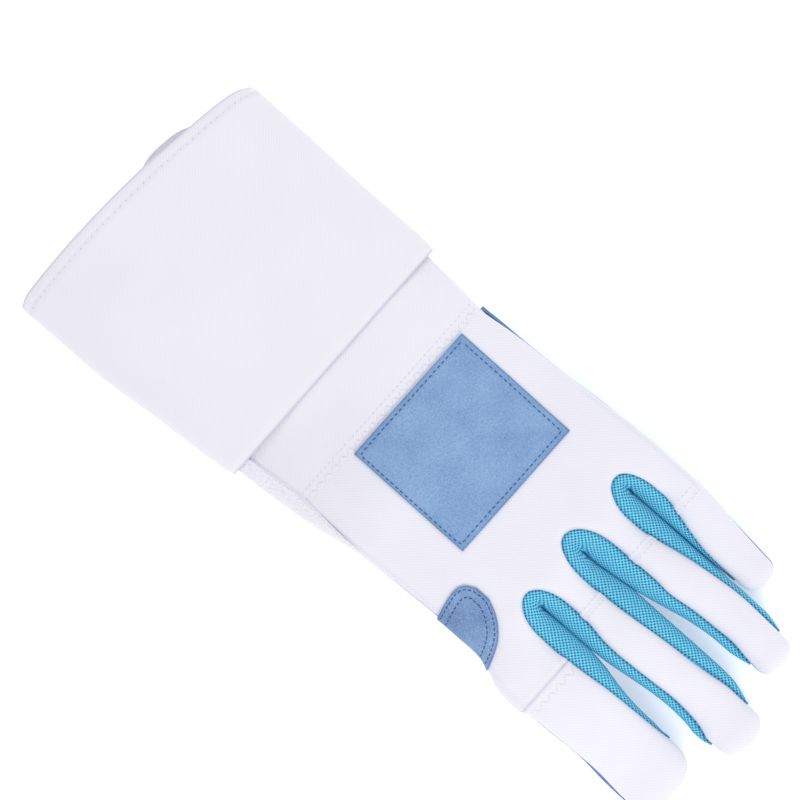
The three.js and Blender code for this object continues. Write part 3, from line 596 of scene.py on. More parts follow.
# %% Loop tape and threads
tape_material, tree, shader = new_material("loop_tape")
fuzz = add(tree, "ShaderNodeTexVoronoi", Vector=object_place(tree),
           Scale=1100.0).outputs["Distance"]
colour = ramp(tree, fuzz, [(0.0, "#f8f6fd"), (0.8, "#e8e6f1")])
dress(tree, shader, colour, fuzz, 0.8, 0.0005, 1.0, sheen=0.4)


def thread(name, light, dark):
    """Two tones of thread, in stripes of noise."""
    material, tree, shader = new_material(name)
    ply = noise(tree, object_place(tree), 2500.0, 1.0)
    colour = ramp(tree, ply, [(0.3, dark), (0.7, light)])
    tree.links.new(colour, shader.inputs["Base Color"])
    shader.inputs["Roughness"].default_value = 0.6
    return material


blue_thread = thread("blue_thread", "#3a5a90", "#254373")
# The white thread is greyer than the cloth as painted shade of the stitches, and the hem's thread
# greyer still as painted shade in the hem's groove
white_thread = thread("white_thread", "#ebeaf4", "#d8d7e5")
painted_shade_hem_thread = thread("painted_shade_hem_thread", "#e0dfeb", "#cccbda")

# %% [markdown]
# The back and the palm share one outline. Each finger is a column of the sheet. Below the U-shaped
# gussets the columns meet, and above them each column rounds over into its own finger.

# %% Edges of the columns
for gusset in GUSSETS:
    for side in ("left", "right", "left_free", "right_free"):
        gusset[side + "_line"] = curve(gusset[side])
# Rows of points in each stretch along a finger's column, and cells across it
ROWS = dict(heel=8, root=44, crotch=24, knuckle=12, finger=64, tip=18)
COLUMNS = 30
SPLIT_ROW = ROWS["heel"] + ROWS["root"]
SEAM_ROW = SPLIT_ROW + ROWS["crotch"] + ROWS["knuckle"]
END_ROW = SEAM_ROW + ROWS["finger"] - 1
LAST_ROW = SEAM_ROW + ROWS["finger"] + ROWS["tip"]
FINGER_BLEND = 0.12
SLIT = 0.9
# A mesh side's half height at the knuckle and at its end, as shares of FINGER_HEIGHT
SIDE_RISE, SIDE_END_RISE = 0.31, 0.06
# How far the back rolls over beside a mesh side, as a share of a quarter turn
SIDE_ROLL = 0.55
# Where the crotch's rows end on a side without a gusset
OUTER_CROTCH = 0.51
TINY = 1e-6


def sewn_edge(gusset, sign, along):
    """Sewn edge of a gusset: its table's line, drawn to the centre by a quarter circle low down."""
    line = gusset["left_line" if sign < 0 else "right_line"]
    turn = np.clip((along - gusset["bottom"]) / gusset["round"], 0, 1)
    across = mix(gusset["centre"], line(along), np.sqrt(1 - (1 - turn) ** 2))
    return np.stack([across * HAND_WIDTH, along * HAND_LENGTH], -1)


def free_edge(gusset, sign, along):
    """Line that the mesh bulges out to. It starts at the slit, above the bottom of the U. Where the
    two sides come within SLIT of each other, each is brought to the middle, so that they touch."""
    left, right = gusset["left_free_line"], gusset["right_free_line"]
    top = gusset["bottom"] + gusset["round"]
    low = mix(gusset["slit"], top, np.clip((along - gusset["bottom"]) / gusset["round"], 0, 1))
    place = np.maximum(low, along)
    gap = (right(place) - left(place)) * HAND_WIDTH
    own = (left if sign < 0 else right)(place) * HAND_WIDTH
    return np.stack([own - sign * np.clip(gap, 0, SLIT) / 2, place * HAND_LENGTH], -1)


def outward(gusset, sign, along):
    """Level direction from the sewn edge to the free edge."""
    away = unit(free_edge(gusset, sign, along) - sewn_edge(gusset, sign, along))
    return np.where((along <= gusset["bottom"])[..., None], np.array([0.0, 1.0]), away)


def rows_along(finger, gusset):
    """Shares along of every row on one side of a finger."""
    bottom = gusset["bottom"] if gusset else ROOT_MIDDLE + ROOT_HALF
    top = gusset["bottom"] + gusset["round"] if gusset else OUTER_CROTCH
    stretch = bottom / (ROOT_MIDDLE + ROOT_HALF)
    heel = mix(SEWN_GAP / HAND_LENGTH, ROOT_MIDDLE - ROOT_HALF,
               np.arange(ROWS["heel"]) / ROWS["heel"])
    root = ROOT_MIDDLE - ROOT_HALF * np.cos(math.pi * np.arange(ROWS["root"]) / ROWS["root"])
    turn = np.arange(ROWS["crotch"]) / ROWS["crotch"]
    crotch = mix(bottom, top, 1 - np.cos(turn * math.pi / 2) if gusset else turn)
    knuckle = mix(top, finger["seam"], np.arange(ROWS["knuckle"]) / ROWS["knuckle"])
    length = mix(finger["seam"], finger["gusset_end"],
                 np.arange(ROWS["finger"]) / (ROWS["finger"] - 1))
    tip = mix(finger["tip_start"], finger["tip"], eased(np.arange(ROWS["tip"] + 1) / ROWS["tip"]))
    return np.concatenate([heel * stretch, root * stretch, crotch, knuckle, length, tip])


def gusset_half(finger, along):
    """Half height of a finger's mesh side, which narrows to the end of the gusset."""
    share = np.clip((along - finger["seam"]) / (finger["gusset_end"] - finger["seam"]), 0, 1)
    return mix(SIDE_RISE * FINGER_HEIGHT, SIDE_END_RISE * FINGER_HEIGHT, share ** 2.5)


def finger_cut(finger, along):
    """Full height of a finger, and the share of its width and height that is left at the tip."""
    share = np.clip((along - finger["seam"]) / (finger["tip_start"] - finger["seam"]), 0, 1)
    full = mix(FINGER_HEIGHT, TIP_HEIGHT, share) * finger["thick"]
    turn = np.clip((along - finger["tip_start"]) / (finger["tip"] - finger["tip_start"]), 0, 1)
    return full, np.maximum(0, 1 - turn ** TIP_POWER) ** (1 / TIP_POWER)


def finger_share(along):
    """How far a place along has left the hand's arch for the finger's own tube."""
    return smooth((along - GUSSETS[2]["bottom"]) / FINGER_BLEND)


def gusset_beside(k, left):
    """The gusset to the left or right of finger k, or None at an outer edge."""
    j = k - 1 if left else k
    return GUSSETS[j] if 0 <= j < len(GUSSETS) else None


def column_edge(k, left, along, side):
    """Across, shift along and outward direction of one edge of finger k's column."""
    finger, gusset = FINGERS[k], gusset_beside(k, left)
    sign = 1 if left else -1
    kept = np.minimum(along, finger["tip_start"])
    if gusset:
        edge, out = sewn_edge(gusset, sign, kept), outward(gusset, sign, kept)
        split = (along >= gusset["bottom"] - TINY) & (along <= finger["gusset_end"] + TINY)
        shift = np.where(split, SEWN_GAP / 2, 0)
        return edge[..., 0] - out[..., 0] * shift, out[..., 1] * shift, out * split[..., None]
    turn = np.clip(1 - ((along - ROOT_MIDDLE) / ROOT_HALF) ** 2, 0, 1)
    notch = ROOT_DEPTH * HAND_WIDTH * np.sqrt(turn) if side < 0 and not left else 0
    line = ulnar_edge if left else radial_edge
    return line(kept) * HAND_WIDTH - notch, np.zeros(along.shape), np.zeros((*along.shape, 2))


# %% [markdown]
# One grid of points for each finger's column. The hand's arch and the finger's tube are blended
# over the knuckles. Where the tube meets a gusset its side stops short of vertical, and at an outer
# edge or the tip it rolls right over to the seam with the palm.

# %% Points of the back and the palm
# Share of the notch whose wall doesn't grow level
NOTCH_REACH = 0.98


def hand_grid(k, side, first, last, nudge=0.0):
    """Rows first to last of finger k's column, for the back (side 1) or the palm (side -1)."""
    finger = FINGERS[k]
    beside = [gusset_beside(k, left) for left in (True, False)]
    rows_left, rows_right = [rows_along(finger, gusset)[first:last + 1] for gusset in beside]
    for rows in (rows_left, rows_right):
        rows[0] += nudge
    across = np.linspace(-1, 1, COLUMNS + 1)[None, :]
    share = (across + 1) / 2
    along = mix(rows_left[:, None], rows_right[:, None], share)
    left_x, left_shift, left_out = column_edge(k, True, rows_left, side)
    right_x, right_shift, right_out = column_edge(k, False, rows_right, side)
    centre, half, _, _ = section(along)
    angles = [np.arcsin(np.clip((x[:, None] - centre) / half, -1, 1)) for x in (left_x, right_x)]
    hand_x = centre + half * np.sin(mix(*angles, share))
    hand_x[:, 0], hand_x[:, -1] = left_x, right_x
    hand_z = arch_height(side, hand_x, along)
    tube, closing = finger_cut(finger, along)
    middle_x = (left_x + right_x)[:, None] / 2
    half_x = (right_x - left_x)[:, None] / 2 * closing
    outer = ((across < 0) & (beside[0] is None)) | ((across >= 0) & (beside[1] is None))
    bare = outer | (along > finger["gusset_end"] + TINY)
    edge_height = np.where(bare, 0, gusset_half(finger, along))
    roll = math.pi / 2 * mix(1, SIDE_ROLL, np.clip(edge_height / (SIDE_RISE * FINGER_HEIGHT), 0, 1))
    bend = np.abs(across) * roll
    finger_x = middle_x + half_x * np.sign(across) * np.sin(bend) / np.sin(roll)
    fall = (np.cos(bend) - np.cos(roll)) / (1 - np.cos(roll))
    finger_z = tube / 2 + side * (edge_height + (tube / 2 - edge_height) * fall) * closing
    blend = finger_share(along)
    points = np.stack([
        mix(hand_x, finger_x, blend),
        along * HAND_LENGTH - mix(left_shift[:, None], right_shift[:, None], share),
        mix(hand_z, finger_z, blend) + side * SEWN_GAP / 2], -1)
    growth = np.zeros(points.shape)
    flags = np.zeros(points.shape[:2], int)
    number = np.arange(first, last + 1)
    for column, out, gusset in ((0, left_out, beside[0]), (-1, right_out, beside[1])):
        sewn = (np.abs(out).sum(1) > 0) & (number <= END_ROW)
        direction = np.concatenate([out, np.full((len(out), 1), float(side))], 1)
        growth[sewn, column] = unit(direction)[sewn]
        in_notch = ((side < 0) & (column == -1)
                    & (np.abs(rows_right - ROOT_MIDDLE) < NOTCH_REACH * ROOT_HALF))
        level = ((gusset is None) & ~in_notch) | ((number > END_ROW) & ~sewn)
        flags[level, column] = LEVEL
    for row in (0, -1) if last == SEAM_ROW else (0,):
        flags[row, flags[row] == 0] = UPRIGHT
    return points, points[..., :2].copy(), growth, flags


# %% [markdown]
# Soft cloth is never quite even. Low waves, the same on every run, lift each panel by a few tenths
# of a millimetre. Every panel is sewn to its neighbours, so none is declared as a free sheet.

# %% Waves, and UVs by the length of the cloth
def waves(points, seed, height, length):
    """Sum of ten sine waves whose directions, lengths and phases come from a seed."""
    rng = np.random.default_rng(seed)
    turn, size = rng.uniform(0, TAU, 10), length * rng.uniform(0.7, 1.7, 10)
    phase = rng.uniform(0, TAU, 10)
    run = np.cos(turn) * points[..., :1] + np.sin(turn) * points[..., 1:2] + 0.5 * points[..., 2:3]
    return height * np.sin(TAU * run / size + phase).sum(-1) / math.sqrt(10)


INDEX_SEAM = FINGERS[3]["seam"] * HAND_LENGTH
RIM_REACH = 2.5
# The back's corner beside the index finger's seam: its rise, and where along the hand it comes
CORNER_RISE, CORNER_START, CORNER_RAMP = 0.9, 92, 24
# The lap at that seam: its rise, how far before the seam it lies, and where across it comes
LAP_RISE, LAP_BACK, LAP_REACH, LAP_START, LAP_RAMP = 0.35, 1.5, 2, 26, 6
# The palm's rim: how far it stands out all round, and further at two places along the hand
RIM_OUT, WRIST_OUT, WRIST_PLACE, WRIST_REACH = 0.15, 1.5, 4, 12
INDEX_OUT, INDEX_PLACE, INDEX_REACH = 1.0, 160, 10


def rim_distance(points, *edges):
    """Distance across from the nearest of some edges of the hand."""
    along, across = points[:, 1] / HAND_LENGTH, points[:, 0] / HAND_WIDTH
    return np.min([np.abs(across - edge(along)) for edge in edges], axis=0) * HAND_WIDTH


def hand_relief(points):
    """Low waves over the hand, which die out towards the wrist seam."""
    return waves(points, seed=4, height=0.22, length=34) * smooth(points[:, 1] / 8)


def back_relief(points):
    """The hand's waves, and a rise of the cut edge that laps over the index finger's own panel."""
    corner = (CORNER_RISE * hump(rim_distance(points, radial_edge), RIM_REACH)
              * smooth((points[:, 1] - CORNER_START) / CORNER_RAMP))
    lap = (LAP_RISE * hump(points[:, 1] - INDEX_SEAM + LAP_BACK, LAP_REACH)
           * smooth((points[:, 0] - LAP_START) / LAP_RAMP))
    return hand_relief(points) + np.maximum(corner, lap)


def palm_relief(points):
    """The palm's edge stands out a little past the back's, most of all at the wrist, beside the
    little finger's side, and at the index finger's outer side."""
    wrist = WRIST_OUT * hump(points[:, 1] - WRIST_PLACE, WRIST_REACH) * (points[:, 0] < 0)
    index = (INDEX_OUT * hump(points[:, 1] - INDEX_PLACE, INDEX_REACH)
             * (points[:, 0] > 0))
    rim = rim_distance(points, ulnar_edge, radial_edge)
    return (RIM_OUT + wrist + index) * hump(rim, RIM_REACH)


def cuff_relief(points):
    """Longer, lower waves for the stiffer cuff, none where it lies on the floor."""
    return waves(points, seed=9, height=0.3, length=52) * smooth((points[:, 2] - 1) / 6)


def arc_uv(points):
    """UV of a grid by its own lengths: across each row from the middle, and down the columns."""
    u, v = running(points, 1), running(points).mean(1)
    u = u - u[:, points.shape[1] // 2][:, None]
    return np.stack(np.broadcast_arrays(u, v[:, None]), -1)


def plain(points, flags=None):
    """A grid with its own UV and no shared wall directions."""
    flags = np.zeros(points.shape[:2], int) if flags is None else flags
    return points, arc_uv(points), np.zeros(points.shape), flags


# %% [markdown]
# The white back, the four finger backs and the blue palm. The back ends at a sewn seam across the
# knuckles, where each finger's own panel starts. The back and the finger backs have a thin layer of
# foam inside their cloth. Their swell is worked out, not simulated, because each has to meet its
# neighbours at seams that stay where they are.

# %% Back, palm and finger backs
OUT_SEAM_INSET, OUT_SEAM_DEPTH, OUT_SEAM_REACH = 1.9, 0.3, 0.6
# Edges with an out-seam: which way inside is, and the millimetres along where it starts and ends
OUT_SEAMS = [(ulnar_edge, 1, 50, 112), (radial_edge, -1, 8, 66), (radial_edge, -1, 99, 118)]
INDEX_SEAM_ACROSS, INDEX_SEAM_DEPTH, INDEX_SEAM_REACH = (30, 62), 0.75, 0.55
PANEL_ROLL, FOAM_FILL = 0.5, 0.3


def out_seam(edge, side, first, last):
    """Plan of a seam inside an edge between two places along, with its depth and reach."""
    y = np.linspace(first, last, 60)
    plan = np.stack([edge(y / HAND_LENGTH) * HAND_WIDTH + side * OUT_SEAM_INSET, y], 1)
    return plan, OUT_SEAM_DEPTH, OUT_SEAM_REACH


out_seams = [out_seam(*row) for row in OUT_SEAMS]
index_plan = np.stack([np.linspace(*INDEX_SEAM_ACROSS, 65), np.full(65, INDEX_SEAM)], 1)
index_seam = [(index_plan, INDEX_SEAM_DEPTH, INDEX_SEAM_REACH)]
back_cloth = shell("back_cloth", [hand_grid(k, 1, 0, SEAM_ROW) for k in range(4)], WALL_BACK,
                   white_twill, "hand_back", relief=back_relief,
                   grooves=out_seams + index_seam, roll=PANEL_ROLL)
shell("palm_suede", [hand_grid(k, -1, 0, LAST_ROW) for k in range(4)], WALL_PALM, palm_suede,
      "palm", flip=True, relief=palm_relief, roll=PANEL_ROLL)
finger_cloths = [
    shell("finger_cloth_" + finger["name"],
          [hand_grid(k, 1, SEAM_ROW, LAST_ROW, SEWN_GAP / HAND_LENGTH)], WALL_BACK, white_twill,
          "finger_back_" + finger["name"], relief=hand_relief, grooves=index_seam,
          roll=PANEL_ROLL)
    for k, finger in enumerate(FINGERS)]
white_panels = [back_cloth, *finger_cloths]

# %% [markdown]
# Each mesh gusset runs up one finger's side, round the crotch and up the next finger's side. Across
# it the mesh bulges out in a half round from the back's edge to the palm's.

# %% Gussets
GUSSET_STEPS = 22
# Millimetres over which a gusset closes to its point
GUSSET_POINT = 9
# The index finger's side is slimmer: by how much, how far beyond the seam, and over what share
INDEX_SLIM, SLIM_START, SLIM_RAMP = 0.62, 0.06, 0.13


def gusset_grid(gusset, k, side, along):
    """Half-ellipse across each step along one finger's side. Its UV is the mesh laid flat: plan of
    the sewn edge, and from there outwards by the length of the arc."""
    finger = FINGERS[k]
    sewn, out = sewn_edge(gusset, side, along), outward(gusset, side, along)
    reach = np.linalg.norm(free_edge(gusset, side, along) - sewn, axis=1)
    to_end = np.clip((finger["gusset_end"] - along) * HAND_LENGTH / GUSSET_POINT, 0, 1)
    slim = mix(1, INDEX_SLIM, smooth((along - finger["seam"] - SLIM_START) / SLIM_RAMP))
    reach = reach * (slim if finger["name"] == "index" else 1) * np.sqrt(to_end)
    reach = np.maximum(reach, 2 * SEAM_GAP)[:, None]
    tube, _ = finger_cut(finger, along)
    top, low = [mix(arch_height(up, sewn[:, 0], along), tube / 2 + up * gusset_half(finger, along),
                    finger_share(along)) for up in (1, -1)]
    turn = math.pi * np.arange(GUSSET_STEPS + 1)[None, :] / GUSSET_STEPS
    bulge = SEWN_GAP / 2 + (reach - SEWN_GAP) * np.sin(turn)
    height = ((top + low) / 2)[:, None] + np.cos(turn) * ((top - low) / 2)[:, None]
    points = np.stack([sewn[:, :1] + out[:, :1] * bulge, sewn[:, 1:] + out[:, 1:] * bulge,
                       height], -1)
    growth = np.stack(np.broadcast_arrays(out[:, :1], out[:, 1:], np.cos(turn)), -1)
    flat = sewn[:, None, :] + out[:, None, :] * running(points, 1)[..., None]
    return points, unit(growth), flat


for j, gusset in enumerate(GUSSETS):
    up = rows_along(FINGERS[j], gusset)[SPLIT_ROW:END_ROW + 1][::-1]
    down = rows_along(FINGERS[j + 1], gusset)[SPLIT_ROW + 1:END_ROW + 1]
    halves = [gusset_grid(gusset, j, -1, up), gusset_grid(gusset, j + 1, 1, down)]
    points, growth, flat = [np.concatenate(pair) for pair in zip(*halves)]
    grid = (points, flat, growth, np.zeros(points.shape[:2], int))
    shell("mesh_gusset_" + str(j + 1), [grid], WALL_MESH, mesh_material,
          gusset["name"], flip=True, roll=0.3)

# %% [markdown]
# The wrist band is a ring that goes on under the cuff. The fuzzy strip lies on its thumb side. The
# cuff starts over both, flares to its hem and lies flat on the floor.

# %% Wrist band and strip
AROUND = 220
BAND_START = STEP_START - BAND_TUCK / HAND_LENGTH


def ring_point(along, turn, grow=0.0):
    """The hand's section as a ring, moved out square to it by grow."""
    centre, half, middle, full = section(along)
    across = np.cos(turn)
    rise = arch(across) * np.sign(np.sin(turn))
    spread = unit(np.stack(np.broadcast_arrays(across / half, rise / (full / 2)), -1))
    x = centre + half * across + spread[..., 0] * grow
    z = middle + rise * full / 2 + spread[..., 1] * grow
    return np.stack(np.broadcast_arrays(x, along * HAND_LENGTH, z), -1)


turns = np.linspace(0, TAU, AROUND + 1)[None, :]
band = ring_point(np.linspace(BAND_START, 0, 36)[:, None], turns)
band[:, -1] = band[:, 0]
band_flags = np.zeros(band.shape[:2], int)
band_flags[-1] = UPRIGHT
band_cloth = shell("band_cloth", [plain(band, band_flags)], WALL_BACK, white_twill,
                   "wrist_band", flip=True)

# The strip's end along the hand, and half of what it covers of the ring, as an angle
STRIP_END, STRIP_HALF_TURN = 0.15, 0.42
STRIP_BELLY, FEATHER_START, FEATHER_EDGE = 1.1, 0.02, 0.15
# Where the strip starts to narrow, and its width at the end
STRIP_TAPER, STRIP_TIP = 0.45, 0.45
STRIP_RISE = 0.03


def strip_wall(y):
    """The strip's thickness: thickest in its middle, with a feather edge beside the hand."""
    along = y / HAND_LENGTH
    share = np.clip((along - BAND_START) / (STRIP_END - BAND_START), 0, 1)
    feather = smooth((along - FEATHER_START) / (STRIP_END - FEATHER_START))
    return WALL_STRIP * mix(1, FEATHER_EDGE, feather) + STRIP_BELLY * np.sin(math.pi * share ** 0.8)


share = np.linspace(0, 1, 80)[:, None]
along = mix(BAND_START, STRIP_END, share)
spread = STRIP_HALF_TURN * mix(1, STRIP_TIP, smooth((share - STRIP_TAPER) / (1 - STRIP_TAPER)))
strip = ring_point(along, spread * np.linspace(-1, 1, 33)[None, :],
                   STRIP_RISE + strip_wall(along * HAND_LENGTH))
shell("loop_strip", [plain(strip)], lambda points: strip_wall(points[:, 1]),
      tape_material, "closure_strip", flip=True, roll=0.1)

# %% [markdown]
# The gauntlet cuff. Its front edge follows the wrist's ring and its hem is a wide flattened oval,
# pressed flat below. The hem is sewn 5 mm inside its edge, and its lower layer peeks out once.

# %% Cuff
# Columns: share of the cuff's length, share of the flare on the thumb side, and on the other side
FLARE = [[0, 0, 0], [0.1, 0.16, 0.6], [0.27, 0.38, 0.9], [0.52, 0.72, 1], [0.75, 0.9, 1],
         [1, 1, 0.55]]
# Columns: across from -1 to 1, share of CUFF_LENGTH that the hem reaches back
HEM_SLANT = [[-1, 0.892], [-0.94, 0.916], [-0.82, 0.935], [-0.5, 0.961], [-0.1, 0.989],
             [0.4, 1.004], [0.9, 1.0], [1, 0.984]]
PEEK, PEEK_ACROSS, PEEK_WIDTH = 3.2, -0.36, 0.2
# Room at the cuff's front: over the strip, and at the corner on the little finger's side
STRIP_CLEAR, CORNER_CLEAR = WALL_STRIP + 2.5 * SEAM_GAP, 1.3
HEM_CENTRE, CUFF_MIDDLE, UNDERSIDE_PRESS = 0.083, 0.48, 1.07
HEM_INSET, HEM_DEPTH, HEM_REACH = 5.0, 0.3, 0.9
flare_thumb, flare_other, hem_slant = curve(FLARE, 1), curve(FLARE, 2), curve(HEM_SLANT)


def cuff_point(share, turn):
    """A straight blend from the wrist's ring to the hem's oval. The flare leads at the sides."""
    flat = np.cos(turn)
    front = ring_point(np.full(np.shape(turn), STEP_START), turn,
                       CUFF_CLEAR + STRIP_CLEAR * smooth((flat - 0.3) / 0.5)
                       + CORNER_CLEAR * smooth(-2 * flat - 1))
    middle = CUFF_HEIGHT * CUFF_MIDDLE
    reach = np.where(turn <= math.pi, CUFF_HEIGHT - middle, -middle * UNDERSIDE_PRESS)
    hem_z = middle + reach * arch(flat)
    hem_x = HEM_CENTRE * HAND_WIDTH + flat * CUFF_WIDTH / 2
    flare = np.where(flat > 0, flare_thumb(share), flare_other(share))
    x = mix(front[..., 0], hem_x, mix(share, flare, np.abs(flat)))
    peek = np.where(turn > math.pi, PEEK * np.exp(-((flat - PEEK_ACROSS) / PEEK_WIDTH) ** 4), 0)
    slant = mix(1, hem_slant(flat), share)
    y = STEP_START * HAND_LENGTH - CUFF_LENGTH * share * slant - peek * share
    z = np.maximum(0, mix(front[..., 2], hem_z, share))
    return np.stack(np.broadcast_arrays(x, y, z), -1)


cuff = cuff_point(np.linspace(1, 0, 96)[:, None], turns)
cuff[:, -1] = cuff[:, 0]
hem_line = cuff_point(np.array([[1 - HEM_INSET / CUFF_LENGTH]]), turns)[0]
cuff_cloth = shell("cuff_cloth", [plain(cuff)], WALL_CUFF, cuff_twill,
                   "cuff", over=level_floor(0), flip=True, relief=cuff_relief,
                   grooves=[(hem_line, HEM_DEPTH, HEM_REACH)])

# %% [markdown]
# The thumb is folded under the palm. Its root is an almond loop between the back's edge and a notch
# in the palm. The tube fans down from it to the floor and runs forward to a round tip. One half is
# white and the other blue.

# %% Thumb
# Steps after the root: the fan, the tube and the tip
FAN_STEPS, TUBE_STEPS, TIP_STEPS = 6, 3, 4
FAN_ADVANCE, SPLIT_REACH, CROTCH_RELIEF = 6, 0.1, 0.3
THUMB_STEPS = 1 + FAN_STEPS + TUBE_STEPS + TIP_STEPS
HINGE = (ROOT_MIDDLE + ROOT_HALF) * HAND_LENGTH - SEAM_GAP
TIP_LENGTH = THUMB_WIDTH * 0.45
ROWS_PER_STEP, THUMB_COLUMNS, NUDGE = 6, 49, 0.05


def root_point(turn):
    """The almond loop: a cosine along the hand and the lower half of a sine across it."""
    y = ROOT_MIDDLE * HAND_LENGTH + (ROOT_HALF * HAND_LENGTH - 2 * SEAM_GAP) * np.cos(turn)
    along = y / HAND_LENGTH
    depth = ROOT_DEPTH * HAND_WIDTH - 3 * SEAM_GAP
    x = radial_edge(along) * HAND_WIDTH - np.maximum(0, -np.sin(turn)) * depth
    z = arch_height(-1, x, along) - 1.4 * SEAM_GAP
    return np.stack([x, y, z + bed(x, y)], -1)


def thumb_tube(step, turn):
    """The tube from its fan onwards: a circle's height and width, swung about the crotch."""
    back = (1 - np.cos(turn)) / 2
    fan = np.clip((step - 1) / FAN_STEPS, 0, 1)
    run = np.clip((step - 1 - FAN_STEPS) / TUBE_STEPS, 0, 1)
    tip = np.clip((step - 1 - FAN_STEPS - TUBE_STEPS) / TIP_STEPS, 0, 1)
    closing = np.cos(tip * math.pi / 2)
    forward = run * (THUMB_LENGTH - TIP_LENGTH) + eased(tip) * TIP_LENGTH
    centre = mix(*THUMB_ACROSS, forward / THUMB_LENGTH) * HAND_WIDTH
    root_x = root_point(turn)[..., 0]
    x = mix(root_x, centre + THUMB_WIDTH / 2 * np.sin(turn) * closing, smooth(fan))
    reach = 2 * ROOT_HALF * HAND_LENGTH - 2 * SEAM_GAP
    y = HINGE + FAN_ADVANCE * fan + forward - reach * back * np.cos(fan * math.pi / 2)
    z = mix(THUMB_HEIGHT / 2, THUMB_HEIGHT * (1 - back * np.sin(fan * math.pi / 2)), closing)
    return np.stack(np.broadcast_arrays(x, y, z), -1)


def thumb_point(step, turn):
    """The root, then a straight line from it to the start of the tube, then the tube."""
    step, turn = np.broadcast_arrays(step, turn)
    low = np.clip(step, 0, 1)[..., None]
    start = thumb_tube(np.ones(step.shape), turn)
    return mix(mix(root_point(turn), start, low), thumb_tube(step, turn), (step > 1)[..., None])


def thumb_outward(step, turn):
    """Cross product of the ways round and along the tube."""
    round_it = thumb_point(step, turn + NUDGE) - thumb_point(step, turn - NUDGE)
    onward = thumb_point(step + NUDGE, turn) - thumb_point(np.maximum(step - NUDGE, 0), turn)
    return unit(np.cross(round_it, onward))


def thumb_grid(is_back):
    """Half of the tube, moved off its other half by the seam's gap."""
    step = np.linspace(0, THUMB_STEPS, ROWS_PER_STEP * THUMB_STEPS + 1)[:, None]
    facing = mix(0.5, 1, smooth((step - 1) / FAN_STEPS)) * math.pi + (0 if is_back else math.pi)
    away = thumb_point(step, facing) - thumb_point(step, facing + math.pi)
    away[-1, 0] = (0, 0, math.cos(facing[-1, 0]))
    away *= 0.5 * SEAM_GAP / np.linalg.norm(away, axis=-1, keepdims=True)
    relief = 0 if is_back else CROTCH_RELIEF * (smooth(step / 1.5) - smooth((step - 2) / 4))
    share = np.linspace(0, 1, THUMB_COLUMNS)[None, :]
    turn = facing + math.pi * (share - 0.5) - relief * share ** 3
    points = thumb_point(step + 0 * share, turn) + away
    points[-1] = points[-1, :1]
    growth = np.zeros(points.shape)
    place = np.where(step > 1, step, 0.5)[:, 0]
    for column in (0, -1):
        both = (thumb_outward(place, turn[:, column] - SPLIT_REACH)
                + thumb_outward(place, turn[:, column] + SPLIT_REACH))
        growth[:-1, column] = unit(both)[:-1]
    flags = np.zeros(points.shape[:2], int)
    flags[ROWS_PER_STEP + 1:, (0, -1)] = LEVEL
    return points, arc_uv(points), growth, flags


def thumb_relief(points):
    """Soft dents between the root and the floor, none at either."""
    height = points[:, 2]
    away = smooth((19 - height) / 6) * smooth((height - 0.6) / 3)
    return waves(points, seed=12, height=0.5, length=24) * away


for is_back, name, material, slot, node in (
        (True, "thumb_cloth", white_twill, "white_cloth", "thumb_back"),
        (False, "thumb_suede", palm_suede, "blue_suede", "thumb_front")):
    shell(name, [thumb_grid(is_back)], WALL_PALM, material, node,
          over=level_floor(0.75 * SEAM_GAP), relief=thumb_relief, roll=PANEL_ROLL)

# %% [markdown]
# The square patch is sewn flat on the back, with a raised rim outside its stitches. A smaller,
# tongue-shaped one wraps the edge of the hand at the thumb's crotch.

# %% Patches
# Columns: share of the way round to the edge, along at the lower side, along at the upper side
THUMB_PATCH = [[0, 0.366, 0.4], [0.12, 0.345, 0.425], [0.3, 0.336, 0.449], [0.55, 0.337, 0.47],
               [1, 0.347, 0.491]]
THUMB_PATCH_INNER = 0.322
# A patch's top above the cloth under it
PATCH_RISE, PATCH_ROLL = 0.1 + WALL_PATCH, 0.45
PATCH_GROOVE, PATCH_GROOVE_REACH = 0.35, 0.7
# How far the square patch's seam lies inside its left, lower, right and upper side
SEAM_INSETS = (2.4, 2.0, 1.3, 2.3)


def patch_point(u, v):
    """The patch's own place u, v: moved to its centre, turned a little and laid on the back."""
    x = PATCH_CENTRE[0] * HAND_WIDTH + u - v * PATCH_TURN
    y = PATCH_CENTRE[1] * HAND_LENGTH + v + u * PATCH_TURN
    return np.stack([x, y, arch_height(1, x, y / HAND_LENGTH) + SEAM_GAP / 2 + PATCH_RISE], -1)


u, v = np.meshgrid(np.linspace(-1, 1, 86) * PATCH_HALF[0], np.linspace(-1, 1, 78) * PATCH_HALF[1])
square = patch_point(u, v)
(left, low), (right, high) = SEAM_INSETS[:2] - PATCH_HALF, PATCH_HALF - SEAM_INSETS[2:]
loop = densify([[left, low], [right, low], [right, high], [left, high], [left, low]], 0.5)
patch_seam = patch_point(loop[:, 0], loop[:, 1])
straight_up = np.zeros(square.shape)
straight_up[..., 2] = 1
square_grid = (square, np.stack([u, v], -1), straight_up, np.zeros(u.shape, int))
square_patch = shell("square_patch", [square_grid], WALL_PATCH, patch_suede,
                     "back_patch", relief=hand_relief, roll=PATCH_ROLL,
                     grooves=[(patch_seam, PATCH_GROOVE, PATCH_GROOVE_REACH)])


def tongue_point(step, share_up):
    """A point of the tongue: round the edge by step, from its lower side to its upper."""
    share = eased(step)
    along = mix(curve(THUMB_PATCH, 1)(share), curve(THUMB_PATCH, 2)(share), share_up)
    centre, half, _, _ = section(along)
    inner = (THUMB_PATCH_INNER * HAND_WIDTH - centre) / half
    turn = np.arccos(np.clip(mix(inner, 1, share), -1, 1))
    points = ring_point(along, turn, PATCH_RISE)
    points[..., 2] += SEAM_GAP / 2
    return points


